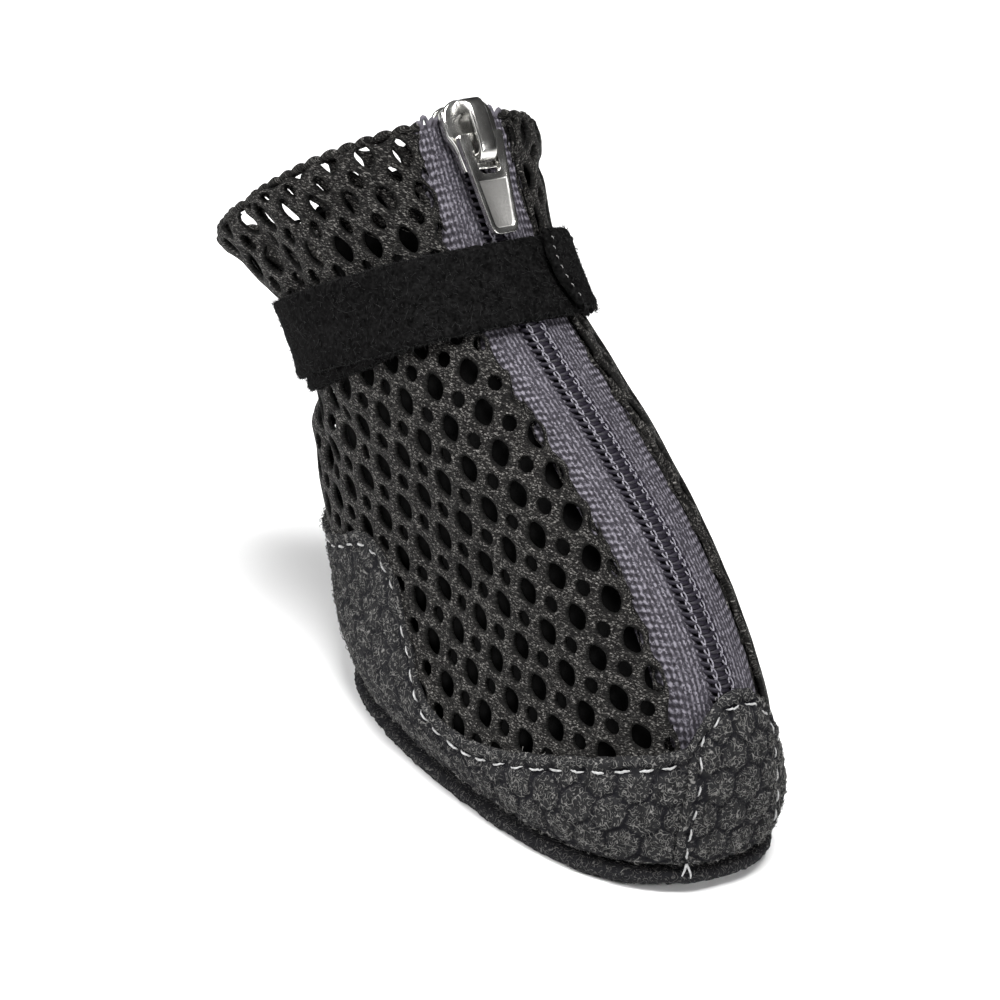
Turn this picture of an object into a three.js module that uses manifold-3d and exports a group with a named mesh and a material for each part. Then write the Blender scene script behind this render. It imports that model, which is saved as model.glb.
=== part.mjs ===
// Dog boot with a knitted mesh upper, a suede rand and sole, a front zip and an ankle strap.
// Millimetres, +Z up. X runs from heel to toe, Y across the foot.
// The origin is on the floor, under the middle of the outsole.

import * as THREE from 'three';
import Module from 'manifold-3d';
import { mergeVertices } from 'three/addons/utils/BufferGeometryUtils.js';

const wasm = await Module();
wasm.setup();

// Driving sizes, in millimetres unless the name says degrees.
const GAP = 0.3;                  // air between pieces that meet
const SOLE_THICKNESS = 3;
const UPPER_WALL = 1.5;
const RAND_THICKNESS = 1.4;
const INSOLE_THICKNESS = 1.8;
const TOE_SPRING = 1.2;
const HEEL_SPRING = 1.5;
const FLAT_HALF_LENGTH = 26;      // the sole lies flat on the floor this far from its middle
const SPRING_RUN = 14;            // length over which the toe and the heel rise
const SPRING_FADES_AT = 30;       // height over the feather edge at which the rise is gone
const COLUMNS = 40;               // facets round the last

const OUTLINE_POWER = 2.4;        // 2 is an ellipse, more is squarer
const ZIP_OPENING_HALF = 7.8;     // half the gap between the two mesh panels
const ZIP_OPENING_FROM = 2.3;     // section at which that gap starts
const CHAIN_HALF = 2.1;           // half width of the closed coils
const CHAIN_FROM = 2.97;          // section at which the coils come out of the toe cap
const CHAIN_TOP = 0.4;            // height of the coils over the mesh
const CHAIN_BOTTOM = -1.2;
const TAPE_TOP = -0.3;
const TAPE_BOTTOM = -1.1;

const CAP_FROM_DEGREES = -18;     // the toe cap's seam on the left side of the foot
const CAP_TO_DEGREES = 22;

const SLIDER_SECTION = 12.1;      // place of the slider's middle on the front line
const SLIDER_HALF = 4.6;          // half width over its shoulders
const SLIDER_PLATE = 0.75;
const PLATE_UNDERSIDE = 0.9;      // height of the top plate over the mesh
const BRIDGE_WIDTH = 2;
const PIVOT_ALONG = 1.2;          // from the slider's middle towards the toe
const PIVOT_HEIGHT = 2.75;
const TAB_LENGTH = 15.2;          // from the pivot to the tip
const TAB_THICKNESS = 1.1;
const TAB_LEAN_DEGREES = 2.5;     // the tab's tip lies closer to the coils

const STRAP_START_DEGREES = -50;
const STRAP_TURN_DEGREES = 645;   // how far the strap is wound
const STRAP_STEP_FROM = 325;      // the second turn climbs onto the first between these
const STRAP_STEP_TO = 362;
const STRAP_THICKNESS = 1.2;
const STRAP_WIDTH = 12.8;
const STRAP_SECTION = 8;          // the strap's middle
const SECTION_RISE = 5.5;         // height of one section at the ankle's sides
const SECTION_RISE_IN_FRONT = 6.12;
const STRAP_CLEARANCE = 0.7;      // from the mesh to the first turn, over the zip's coils
const STRAP_SLIP = 0.4;           // sections by which the first turn shows below the second
const STRAP_END_RISE = 0.12;      // sections by which the loose end lifts out of line
const STRAP_PATCH_TURN = 85;      // turn from either end over which the slip fades
const STRAP_PIECES = 72;

// Sections of the last, from the feather edge at the sole to the rim of the collar. Each is a flat
// closed curve through a front and a back point in the middle plane, and half a width across.
// A taper above 0 makes it wider towards the toe.
const SECTIONS = [
  { name: 'feather edge', frontX: 40.2, frontZ: 3.3, backX: -38.8, backZ: 3.3, half: 18.8, taper: 0.10 },
  { name: 'ball', frontX: 41.1, frontZ: 9.5, backX: -43.2, backZ: 10.2, half: 21.2, taper: 0.07 },
  { name: 'toe box', frontX: 40.4, frontZ: 19.0, backX: -49.6, backZ: 17.5, half: 19.0, taper: 0.03 },
  { name: 'vamp', frontX: 35.4, frontZ: 30.8, backX: -55.0, backZ: 25.5, half: 17.3, taper: 0 },
  { name: 'waist', frontX: 21.4, frontZ: 43.8, backX: -56.6, backZ: 32.0, half: 17.2, taper: 0 },
  { name: 'instep', frontX: 4.4, frontZ: 54.2, backX: -56.0, backZ: 37.2, half: 17.9, taper: 0 },
  { name: 'throat', frontX: -8.6, frontZ: 60.8, backX: -55.2, backZ: 40.6, half: 18.0, taper: 0 },
  { name: 'ankle', frontX: -17.6, frontZ: 66.0, backX: -55.8, backZ: 43.6, half: 17.3, taper: 0 },
  { name: 'strap middle', frontX: -22.5, frontZ: 70.4, backX: -58.9, backZ: 47.2, half: 17.0, taper: 0 },
  { name: 'strap top', frontX: -26.8, frontZ: 74.8, backX: -62.8, backZ: 50.8, half: 17.4, taper: 0 },
  { name: 'hem', frontX: -30.6, frontZ: 79.2, backX: -67.6, backZ: 53.0, half: 18.9, taper: 0 },
  { name: 'lower collar', frontX: -34.1, frontZ: 83.5, backX: -72.4, backZ: 54.4, half: 20.6, taper: 0 },
  { name: 'upper collar', frontX: -37.5, frontZ: 87.8, backX: -77.0, backZ: 56.4, half: 22.2, taper: 0 },
  { name: 'collar rim', frontX: -40.8, frontZ: 91.8, backX: -81.0, backZ: 59.0, half: 23.4, taper: 0 },
];
const LAST_SECTION = SECTIONS.length - 1;
const OVERLAY_TOP_SECTION = 3.5;

// Top edge of the side rand: how many sections high it stands at each angle from the toe.
const RAND_TOP = [
  { angle: 18, section: 2.34 },
  { angle: 26, section: 2.24 },
  { angle: 38, section: 2.12 },
  { angle: 55, section: 1.86 },
  { angle: 76, section: 1.38 },
  { angle: 86, section: 1.20 },
  { angle: 92, section: 1.30 },
  { angle: 96, section: 1.75 },
  { angle: 98, section: 2.50 },
  { angle: 101, section: 3.02 },
  { angle: 107, section: 3.24 },
  { angle: 114, section: 3.12 },
  { angle: 122, section: 2.82 },
  { angle: 132, section: 2.56 },
  { angle: 150, section: 2.46 },
  { angle: 180, section: 2.44 },
];

// Top edge of the toe cap, from its middle (0) to either seam (1).
const CAP_TOP = [
  { side: 0, section: 2.94 },
  { side: 0.3, section: 2.90 },
  { side: 0.65, section: 2.70 },
  { side: 0.88, section: 2.48 },
  { side: 1, section: 2.34 },
];

const degrees = THREE.MathUtils.degToRad;

function curveThrough(points) {
  return new THREE.CatmullRomCurve3(points, false, 'catmullrom', 0.5);
}

const frontLine = curveThrough(SECTIONS.map((s) => new THREE.Vector3(s.frontX, 0, s.frontZ)));
const backLine = curveThrough(SECTIONS.map((s) => new THREE.Vector3(s.backX, 0, s.backZ)));
const girthLine = curveThrough(SECTIONS.map((s) => new THREE.Vector3(s.half, s.taper, 0)));

// How far the toe and the heel curl up off the floor at a place along the foot.
function springAt(x) {
  const past = Math.max(0, Math.abs(x) - FLAT_HALF_LENGTH) / SPRING_RUN;
  const rise = x > 0 ? TOE_SPRING : HEEL_SPRING;
  return rise * Math.min(1, past) ** 2;
}

// A point of the last, on the named section, turned by an angle from the toe towards +Y, and
// moved out of the last's surface by an offset.
function lastPoint(section, angle, offset) {
  const t = Math.min(section, LAST_SECTION) / LAST_SECTION;
  const front = frontLine.getPoint(t);
  const back = backLine.getPoint(t);
  const girth = girthLine.getPoint(t);
  const middle = front.clone().add(back).multiplyScalar(0.5);
  const along = front.clone().sub(middle);
  const halfLength = along.length();
  along.normalize();
  const power = 2 / OUTLINE_POWER;
  const c = Math.cos(angle);
  const s = Math.sin(angle);
  const forward = Math.sign(c) * Math.abs(c) ** power * (halfLength + offset);
  const across = Math.sign(s) * Math.abs(s) ** power * (girth.x * (1 + girth.y * c) + offset);
  const point = middle.addScaledVector(along, forward);
  point.y = across;
  const above = point.z - SECTIONS[0].frontZ;
  point.z += springAt(point.x) * THREE.MathUtils.clamp(1 - above / SPRING_FADES_AT, 0, 1);
  if (section > LAST_SECTION) {
    const edge = frontLine.getPoint(1).sub(frontLine.getPoint(1 - 0.5 / LAST_SECTION));
    point.addScaledVector(edge, (section - LAST_SECTION) * 2);
  }
  return point;
}

// The angle at which a section of the last has a given distance from the middle plane, in front.
function angleAcross(section, across, offset) {
  const girth = girthLine.getPoint(Math.min(section, LAST_SECTION) / LAST_SECTION);
  const share = Math.abs(across) / (girth.x * (1 + girth.y) + offset);
  return Math.sign(across) * Math.asin(share ** (OUTLINE_POWER / 2));
}

function lookUp(table, key, value, at) {
  const next = table.findIndex((row) => row[key] >= at);
  if (next <= 0) {
    return table[next === 0 ? 0 : table.length - 1][value];
  }
  const low = table[next - 1];
  const high = table[next];
  const share = (at - low[key]) / (high[key] - low[key]);
  return low[value] + share * (high[value] - low[value]);
}

function steps(from, to, count) {
  return Array.from({ length: count + 1 }, (_, i) => from + ((to - from) * i) / count);
}

function geometryFrom(points, triangles) {
  const geometry = new THREE.BufferGeometry();
  const position = new Float32Array(points.flatMap((p) => [p.x, p.y, p.z]));
  geometry.setAttribute('position', new THREE.BufferAttribute(position, 3));
  geometry.setIndex(triangles);
  geometry.computeVertexNormals();
  return geometry;
}

// A wall between an outer and an inner grid of points: rows go up, columns go round from the toe
// towards +Y. A closed wall joins its last column to its first.
function wall(rows, columns, closed, outerAt, innerAt) {
  const points = [];
  for (const at of [outerAt, innerAt]) {
    for (let i = 0; i < rows; i += 1) {
      for (let j = 0; j < columns; j += 1) {
        points.push(at(i, j));
      }
    }
  }
  const outer = (i, j) => i * columns + (j % columns);
  const inner = (i, j) => rows * columns + outer(i, j);
  const triangles = [];
  const quad = (a, b, c, d) => triangles.push(a, b, c, a, c, d);
  const spans = closed ? columns : columns - 1;
  for (let j = 0; j < spans; j += 1) {
    for (let i = 0; i < rows - 1; i += 1) {
      quad(outer(i, j), outer(i, j + 1), outer(i + 1, j + 1), outer(i + 1, j));
      quad(inner(i, j + 1), inner(i, j), inner(i + 1, j), inner(i + 1, j + 1));
    }
    quad(inner(0, j), inner(0, j + 1), outer(0, j + 1), outer(0, j));
    const top = rows - 1;
    quad(outer(top, j), outer(top, j + 1), inner(top, j + 1), inner(top, j));
  }
  if (!closed) {
    const end = columns - 1;
    for (let i = 0; i < rows - 1; i += 1) {
      quad(inner(i, 0), outer(i, 0), outer(i + 1, 0), inner(i + 1, 0));
      quad(outer(i, end), inner(i, end), inner(i + 1, end), outer(i + 1, end));
    }
  }
  return geometryFrom(points, triangles);
}

// A slab under or inside the boot: rings of the last's outline between two middle points.
function slab(rings, columns) {
  const points = [];
  for (const ring of rings) {
    for (let j = 0; j < columns; j += 1) {
      const edge = lastPoint(0, (2 * Math.PI * j) / columns, ring.offset);
      const x = edge.x * ring.scale;
      points.push(new THREE.Vector3(x, edge.y * ring.scale, ring.height + springAt(x)));
    }
  }
  const bottom = points.length;
  points.push(new THREE.Vector3(0, 0, rings[0].height));
  points.push(new THREE.Vector3(0, 0, rings[rings.length - 1].height));
  const triangles = [];
  for (let j = 0; j < columns; j += 1) {
    const next = (j + 1) % columns;
    for (let i = 0; i < rings.length - 1; i += 1) {
      const low = i * columns;
      const high = low + columns;
      triangles.push(low + j, low + next, high + next, low + j, high + next, high + j);
    }
    const last = (rings.length - 1) * columns;
    triangles.push(bottom, next, j, bottom + 1, last + j, last + next);
  }
  return geometryFrom(points, triangles);
}

function solidOf(geometry) {
  const bare = geometry.clone();
  bare.deleteAttribute('normal');
  bare.deleteAttribute('uv');
  const merged = mergeVertices(bare);
  return new wasm.Manifold(new wasm.Mesh({
    numProp: 3,
    vertProperties: new Float32Array(merged.attributes.position.array),
    triVerts: new Uint32Array(merged.index.array),
  }));
}

function geometryOf(solid) {
  const mesh = solid.getMesh();
  const geometry = new THREE.BufferGeometry();
  geometry.setAttribute('position', new THREE.BufferAttribute(new Float32Array(mesh.vertProperties), 3));
  geometry.setIndex(Array.from(mesh.triVerts));
  geometry.computeVertexNormals();
  return geometry;
}

const FINISHES = {
  mesh: { color: 0x2c2b29, roughness: 0.95, metalness: 0 },
  suede: { color: 0x454648, roughness: 1, metalness: 0 },
  lining: { color: 0x3a3a3c, roughness: 1, metalness: 0 },
  tape: { color: 0x66616a, roughness: 0.9, metalness: 0 },
  coil: { color: 0x2b2733, roughness: 0.5, metalness: 0 },
  webbing: { color: 0x191919, roughness: 1, metalness: 0 },
  nickel: { color: 0xb9b9b9, roughness: 0.3, metalness: 1 },
};

const boot = new THREE.Group();

function addPiece(name, finish, geometry) {
  const mesh = new THREE.Mesh(geometry, new THREE.MeshStandardMaterial(FINISHES[finish]));
  mesh.name = name;
  boot.add(mesh);
  return mesh;
}

// Outsole: the flat bottom with a rolled edge that comes up to the seam with the rand.
function makeOutsole() {
  const edge = GAP + RAND_THICKNESS + 0.2;
  return slab([
    { offset: 0, scale: 0.35, height: 0 },
    { offset: 0, scale: 0.7, height: 0 },
    { offset: edge - 2.6, scale: 1, height: 0 },
    { offset: edge - 1.0, scale: 1, height: 0.6 },
    { offset: edge - 0.2, scale: 1, height: 1.6 },
    { offset: edge, scale: 1, height: SOLE_THICKNESS },
    { offset: 0, scale: 0.7, height: SOLE_THICKNESS },
    { offset: 0, scale: 0.35, height: SOLE_THICKNESS },
  ], COLUMNS);
}

// Insole: a loose pad on the outsole, inside the upper.
function makeInsole() {
  const low = SOLE_THICKNESS + GAP;
  const inside = -UPPER_WALL - GAP - 0.2;
  return slab([
    { offset: inside, scale: 0.5, height: low },
    { offset: inside, scale: 1, height: low },
    { offset: inside, scale: 1, height: low + INSOLE_THICKNESS },
    { offset: inside, scale: 0.5, height: low + INSOLE_THICKNESS },
  ], COLUMNS);
}

// Upper: one hollow knitted wall, open below and at the collar, and slit in front for the zip.
function makeUpper() {
  const heights = steps(0, LAST_SECTION, LAST_SECTION * 2);
  const pointOn = (offset) => (i, j) => lastPoint(heights[i], (2 * Math.PI * j) / COLUMNS, offset);
  const tube = wall(heights.length, COLUMNS, true, pointOn(0), pointOn(-UPPER_WALL));
  const opening = frontBand(-ZIP_OPENING_HALF, ZIP_OPENING_HALF, ZIP_OPENING_FROM, LAST_SECTION + 0.4, 5, -4);
  return geometryOf(solidOf(tube).subtract(solidOf(opening)));
}

// A strip up the front of the boot, between two distances from the middle plane.
function frontBand(left, right, fromSection, toSection, top, bottom) {
  const acrosses = steps(left, right, 4);
  const inBetween = steps(0, LAST_SECTION, LAST_SECTION * 2)
    .filter((section) => section > fromSection + 0.1 && section < toSection - 0.1);
  const heights = [fromSection, ...inBetween, toSection];
  const pointOn = (offset) => (i, j) => {
    const point = lastPoint(heights[i], angleAcross(heights[i], acrosses[j], offset), offset);
    point.y = acrosses[j];
    return point;
  };
  return wall(heights.length, acrosses.length, false, pointOn(top), pointOn(bottom));
}

// A suede overlay stands proud of the upper. Its wall has the upper's own facets, and a wider
// form cuts it to the stretch between two seams, from the feather edge up to its own top edge.
function overlay(angles, topAt) {
  const heights = steps(0, OVERLAY_TOP_SECTION, OVERLAY_TOP_SECTION * 2);
  const skin = (offset) => (i, j) => lastPoint(heights[i], (2 * Math.PI * j) / COLUMNS, offset);
  const ring = wall(heights.length, COLUMNS, true, skin(GAP + RAND_THICKNESS), skin(GAP));
  const rows = 5;
  const cutter = (offset) => (i, j) => {
    const section = (topAt(angles[j]) * Math.max(0, i - 1)) / (rows - 2);
    const point = lastPoint(section, degrees(angles[j]), offset);
    point.z -= i === 0 ? 3 : 0;
    return point;
  };
  const form = wall(rows, angles.length, false, cutter(6), cutter(-4));
  return geometryOf(solidOf(ring).intersect(solidOf(form)));
}

// Side rand: one band round both sides and the heel, where it rises into the counter.
function makeSideRand() {
  const seam = 0.8;
  const bends = RAND_TOP.map((row) => row.angle).filter((angle) => angle > 24);
  const between = [46, 65, 140, 160, 170];
  const half = [...bends, ...between].sort((a, b) => a - b);
  const start = CAP_TO_DEGREES + seam;
  const end = 360 + CAP_FROM_DEGREES - seam;
  const mirrored = half.filter((angle) => angle < 180).map((angle) => 360 - angle).reverse();
  const angles = [start, ...half, ...mirrored, end];
  const topAt = (angle) => lookUp(RAND_TOP, 'angle', 'section', angle > 180 ? 360 - angle : angle);
  return overlay(angles, topAt);
}

// Toe cap: a tab with a rounded top that covers the lower end of the zip.
function makeToeCap() {
  const middle = (CAP_FROM_DEGREES + CAP_TO_DEGREES) / 2;
  const half = (CAP_TO_DEGREES - CAP_FROM_DEGREES) / 2;
  const topAt = (angle) => lookUp(CAP_TOP, 'side', 'section', Math.abs(angle - middle) / half);
  return overlay(steps(CAP_FROM_DEGREES, CAP_TO_DEGREES, 12), topAt);
}

// Strap: one ribbon wound on the ankle, the second turn lying on the first.
function makeStrap() {
  const count = STRAP_PIECES;
  const sides = [
    { edge: -0.5, lift: 0 },
    { edge: -0.5, lift: STRAP_THICKNESS },
    { edge: 0.5, lift: STRAP_THICKNESS },
    { edge: 0.5, lift: 0 },
  ];
  const points = [];
  for (const turned of steps(0, STRAP_TURN_DEGREES, count)) {
    const step = THREE.MathUtils.smoothstep(turned, STRAP_STEP_FROM, STRAP_STEP_TO);
    const out = STRAP_CLEARANCE + (STRAP_THICKNESS + GAP) * step;
    const sag = Math.min(1, Math.abs(turned - STRAP_PATCH_TURN) / STRAP_PATCH_TURN);
    const loose = turned - (STRAP_TURN_DEGREES - STRAP_PATCH_TURN);
    const rise = Math.max(0, loose / STRAP_PATCH_TURN);
    const slip = STRAP_END_RISE * rise - STRAP_SLIP * Math.cos((Math.PI / 2) * sag) ** 2;
    const angle = degrees(STRAP_START_DEGREES - turned);
    const sectionRise = SECTION_RISE + (SECTION_RISE_IN_FRONT - SECTION_RISE) * Math.cos(angle);
    for (const side of sides) {
      const section = STRAP_SECTION + slip + (side.edge * STRAP_WIDTH) / sectionRise;
      points.push(lastPoint(section, angle, out + side.lift));
    }
  }
  const triangles = [];
  for (let k = 0; k < count; k += 1) {
    for (let m = 0; m < 4; m += 1) {
      const a = k * 4 + m;
      const b = k * 4 + ((m + 1) % 4);
      triangles.push(a, b, b + 4, a, b + 4, a + 4);
    }
  }
  const end = count * 4;
  triangles.push(0, 2, 1, 0, 3, 2, end, end + 1, end + 2, end, end + 2, end + 3);
  return geometryFrom(points, triangles);
}

// Zip: two woven tapes in the upper's front opening, with the closed coils between them.
function makeTape(side) {
  const near = side * (CHAIN_HALF + GAP);
  const far = side * (ZIP_OPENING_HALF - GAP);
  const left = Math.min(near, far);
  const right = Math.max(near, far);
  return frontBand(left, right, ZIP_OPENING_FROM + 0.04, LAST_SECTION, TAPE_TOP, TAPE_BOTTOM);
}

function makeChain() {
  const chainEnd = SLIDER_SECTION + 0.35;
  return frontBand(-CHAIN_HALF, CHAIN_HALF, CHAIN_FROM, chainEnd, CHAIN_TOP, CHAIN_BOTTOM);
}

// The slider and the pull tab are drawn flat: x down the zip, y across it, z out of it.
function extrudeFrom(shape, low, high) {
  const options = { depth: high - low, bevelEnabled: false, curveSegments: 5 };
  const geometry = new THREE.ExtrudeGeometry(shape, options);
  return geometry.translate(0, 0, low);
}

function box(x0, x1, y0, y1, z0, z1) {
  const geometry = new THREE.BoxGeometry(x1 - x0, y1 - y0, z1 - z0);
  return geometry.translate((x0 + x1) / 2, (y0 + y1) / 2, (z0 + z1) / 2);
}

// Slider: two plates with broad shoulders, a post between them where the coils part, rims that
// keep the tapes in, and a bridge over the top that holds the pull tab.
function makeSlider() {
  const outline = new THREE.Shape();
  outline.moveTo(-5.2, -1.8);
  outline.quadraticCurveTo(-4.4, -SLIDER_HALF, -1.8, -SLIDER_HALF);
  outline.lineTo(0.2, -SLIDER_HALF);
  outline.quadraticCurveTo(1.6, -3.6, 3, -3.5);
  outline.lineTo(6, -3.3);
  outline.lineTo(6, 3.3);
  outline.lineTo(3, 3.5);
  outline.quadraticCurveTo(1.6, 3.6, 0.2, SLIDER_HALF);
  outline.lineTo(-1.8, SLIDER_HALF);
  outline.quadraticCurveTo(-4.4, SLIDER_HALF, -5.2, 1.8);
  outline.closePath();

  const top = PLATE_UNDERSIDE + SLIDER_PLATE;
  const under = CHAIN_BOTTOM - 0.45;
  const rim = solidOf(extrudeFrom(outline, 0.1, PLATE_UNDERSIDE + 0.1))
    .subtract(solidOf(box(-3.4, 8, -2.75, 2.75, -1, 2)));
  const post = solidOf(box(-4.6, -2.7, -1.1, 1.1, under - 0.2, PLATE_UNDERSIDE + 0.2));

  const arch = new THREE.Shape();
  arch.moveTo(-5, top - 0.3);
  arch.lineTo(-4.7, 3.2);
  arch.quadraticCurveTo(-4.3, 4.7, -1.5, 4.7);
  arch.lineTo(2.2, 4.7);
  arch.quadraticCurveTo(4.6, 4.5, 5.1, 3);
  arch.lineTo(5.3, top - 0.3);
  arch.closePath();
  const eye = new THREE.Shape();
  eye.moveTo(-2.6, top);
  eye.lineTo(3.6, top);
  eye.lineTo(3.6, 3.1);
  eye.quadraticCurveTo(3.5, 3.75, 2.6, 3.75);
  eye.lineTo(-1.6, 3.75);
  eye.quadraticCurveTo(-2.6, 3.75, -2.6, 3);
  eye.closePath();
  const stand = (geometry) => solidOf(geometry.rotateX(Math.PI / 2));
  const bridge = stand(extrudeFrom(arch, -BRIDGE_WIDTH / 2, BRIDGE_WIDTH / 2))
    .subtract(stand(extrudeFrom(eye, -BRIDGE_WIDTH, BRIDGE_WIDTH)));

  return geometryOf(solidOf(extrudeFrom(outline, PLATE_UNDERSIDE, top))
    .add(solidOf(extrudeFrom(outline, under - SLIDER_PLATE, under)))
    .add(rim).add(post).add(bridge));
}

// Pull tab: a tapering plate with a window, whose cross bar turns in the bridge.
function makeTab() {
  const bar = 0.6;
  const outline = new THREE.Shape();
  outline.moveTo(-bar, -3.4);
  outline.quadraticCurveTo(-bar, -4, 0.2, -4);
  outline.lineTo(TAB_LENGTH - 1.5, -2.5);
  outline.quadraticCurveTo(TAB_LENGTH, -2.3, TAB_LENGTH, -1.2);
  outline.lineTo(TAB_LENGTH, 1.2);
  outline.quadraticCurveTo(TAB_LENGTH, 2.3, TAB_LENGTH - 1.5, 2.5);
  outline.lineTo(0.2, 4);
  outline.quadraticCurveTo(-bar, 4, -bar, 3.4);
  outline.closePath();
  const opening = new THREE.Path();
  opening.moveTo(bar, -2.1);
  opening.lineTo(bar, 2.1);
  opening.lineTo(4.4, 1.9);
  opening.quadraticCurveTo(5.6, 1.8, 5.6, 0.6);
  opening.lineTo(5.6, -0.6);
  opening.quadraticCurveTo(5.6, -1.8, 4.4, -1.9);
  opening.closePath();
  outline.holes.push(opening);
  return extrudeFrom(outline, -TAB_THICKNESS / 2, TAB_THICKNESS / 2);
}

addPiece('outsole', 'suede', makeOutsole());
addPiece('insole', 'lining', makeInsole());
addPiece('upper', 'mesh', makeUpper());
addPiece('side_rand', 'suede', makeSideRand());
addPiece('toe_cap', 'suede', makeToeCap());
addPiece('zip_tape_left', 'tape', makeTape(1));
addPiece('zip_tape_right', 'tape', makeTape(-1));
addPiece('zip_chain', 'coil', makeChain());
addPiece('strap', 'webbing', makeStrap());

const zipTop = frontLine.getPoint(1);
const zipDown = frontLine.getPoint((SLIDER_SECTION - 1) / LAST_SECTION).sub(zipTop).normalize();
const slider = addPiece('slider', 'nickel', makeSlider());
slider.position.copy(frontLine.getPoint(SLIDER_SECTION / LAST_SECTION));
slider.rotation.y = Math.atan2(-zipDown.z, zipDown.x);

const tab = addPiece('pull_tab', 'nickel', makeTab());
tab.position.set(PIVOT_ALONG, 0, PIVOT_HEIGHT).applyEuler(slider.rotation).add(slider.position);
tab.rotation.y = slider.rotation.y + degrees(TAB_LEAN_DEGREES);

export default boot;
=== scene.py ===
"""Dog boot: knitted mesh upper, embossed suede rand and sole, front zip and ankle strap."""

import math

import bmesh
import bpy
import numpy as np
from mathutils import Matrix, Vector, noise


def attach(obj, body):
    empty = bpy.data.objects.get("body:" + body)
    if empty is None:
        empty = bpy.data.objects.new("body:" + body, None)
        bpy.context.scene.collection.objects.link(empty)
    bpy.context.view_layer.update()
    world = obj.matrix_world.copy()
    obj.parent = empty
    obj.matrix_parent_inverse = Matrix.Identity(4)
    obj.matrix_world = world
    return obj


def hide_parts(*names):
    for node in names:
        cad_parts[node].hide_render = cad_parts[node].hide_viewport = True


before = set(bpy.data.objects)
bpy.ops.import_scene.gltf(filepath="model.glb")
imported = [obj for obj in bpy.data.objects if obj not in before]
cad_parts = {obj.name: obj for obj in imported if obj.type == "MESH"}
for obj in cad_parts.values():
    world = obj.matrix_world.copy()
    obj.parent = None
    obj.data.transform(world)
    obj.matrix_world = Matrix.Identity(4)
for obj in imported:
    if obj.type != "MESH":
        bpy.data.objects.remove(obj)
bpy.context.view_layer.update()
MM = 0.001
rng = np.random.default_rng(7)


# Studio: a plain pale floor in a white room, under a soft light from above and weaker ones from
# the left and the right. The camera stands off the boot's right front and is a little rolled.
def linear(hex_colour):
    """An sRGB hex colour as linear red, green, blue and alpha."""
    parts = [int(hex_colour[i : i + 2], 16) / 255 for i in (1, 3, 5)]
    return [p / 12.92 if p <= 0.04045 else ((p + 0.055) / 1.055) ** 2.4 for p in parts] + [1.0]


def add_node(tree, kind, links=None, sockets=None, stops=(), **properties):
    """Adds a shader node: what links into it, its own sockets' values, and its properties. Stops
    are a colour ramp's places and colours, its two ends first."""
    node = tree.nodes.new("ShaderNode" + kind)
    for name, value in properties.items():
        setattr(node, name, value)
    for name, value in (sockets or {}).items():
        node.inputs[name].default_value = value
    for name, source in (links or {}).items():
        tree.links.new(source, node.inputs[name])
    for k, (place, colour) in enumerate(stops):
        stop = node.color_ramp.elements[k] if k < 2 else node.color_ramp.elements.new(place)
        stop.position, stop.color = place, linear(colour)
    return node


def new_material(name):
    """An empty material with its shader; returns the material, its tree and the shader."""
    material = bpy.data.materials.new(name)
    material.use_nodes = True
    tree = material.node_tree
    return material, tree, tree.nodes["Principled BSDF"]


CAMERA_TURN = math.radians(49.97)
CAMERA_RISE = math.radians(24.84)
CAMERA_ROLL = math.radians(-7.35)
CAMERA_AWAY = 0.700
FRAME_WIDTH = 0.150
SENSOR = 36.0
AIM_RIGHT, AIM_UP = 0.00666, 0.00485

turn_right = Vector((math.cos(CAMERA_TURN), math.sin(CAMERA_TURN), 0))
away = Vector((
    math.sin(CAMERA_TURN) * math.cos(CAMERA_RISE),
    -math.cos(CAMERA_TURN) * math.cos(CAMERA_RISE),
    math.sin(CAMERA_RISE),
))
turn_up = away.cross(turn_right)
camera_right = turn_right * math.cos(CAMERA_ROLL) - turn_up * math.sin(CAMERA_ROLL)
camera_up = turn_right * math.sin(CAMERA_ROLL) + turn_up * math.cos(CAMERA_ROLL)
aim = Vector((-0.010, 0, 0.045)) - camera_right * AIM_RIGHT - camera_up * AIM_UP

camera = bpy.data.objects.new("camera", bpy.data.cameras.new("camera"))
bpy.context.scene.collection.objects.link(camera)
camera.data.sensor_width = SENSOR
camera.data.lens = SENSOR * CAMERA_AWAY / FRAME_WIDTH
camera.matrix_world = Matrix((camera_right, camera_up, away)).transposed().to_4x4()
camera.location = aim + away * CAMERA_AWAY
bpy.context.scene.camera = camera
bpy.context.scene.view_settings.view_transform = "Standard"

bm = bmesh.new()
bmesh.ops.create_circle(bm, cap_ends=True, segments=96, radius=2.5)
floor_mesh = bpy.data.meshes.new("floor")
bm.to_mesh(floor_mesh)
bm.free()
floor = bpy.data.objects.new("floor", floor_mesh)
bpy.context.scene.collection.objects.link(floor)
paper, tree, shader = new_material("pale paper floor")
shader.inputs["Base Color"].default_value = linear("#f7f7f7")
shader.inputs["Roughness"].default_value = 0.9
floor_mesh.materials.append(paper)

world = bpy.data.worlds.new("white room")
bpy.context.scene.world = world
world.use_nodes = True
tree = world.node_tree
upwards = add_node(tree, "SeparateXYZ", {"Vector": add_node(tree, "TexCoord").outputs["Generated"]})
overhead = add_node(tree, "MapRange", {"Value": upwards.outputs[2]},
                    {"From Min": 0.2, "From Max": 0.75, "To Min": 0.3, "To Max": 1.0})
tree.links.new(overhead.outputs[0], tree.nodes["Background"].inputs["Strength"])


def softbox(name, place, size, power):
    """A square light that faces the boot, in metres and watts."""
    lamp = bpy.data.objects.new(name, bpy.data.lights.new(name, "AREA"))
    lamp.data.shape = "SQUARE"
    lamp.data.size = size
    lamp.data.energy = power
    lamp.location = place
    lamp.rotation_euler = (Vector((-0.01, 0, 0.04)) - Vector(place)).to_track_quat("-Z", "Y").to_euler()
    bpy.context.scene.collection.objects.link(lamp)


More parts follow.
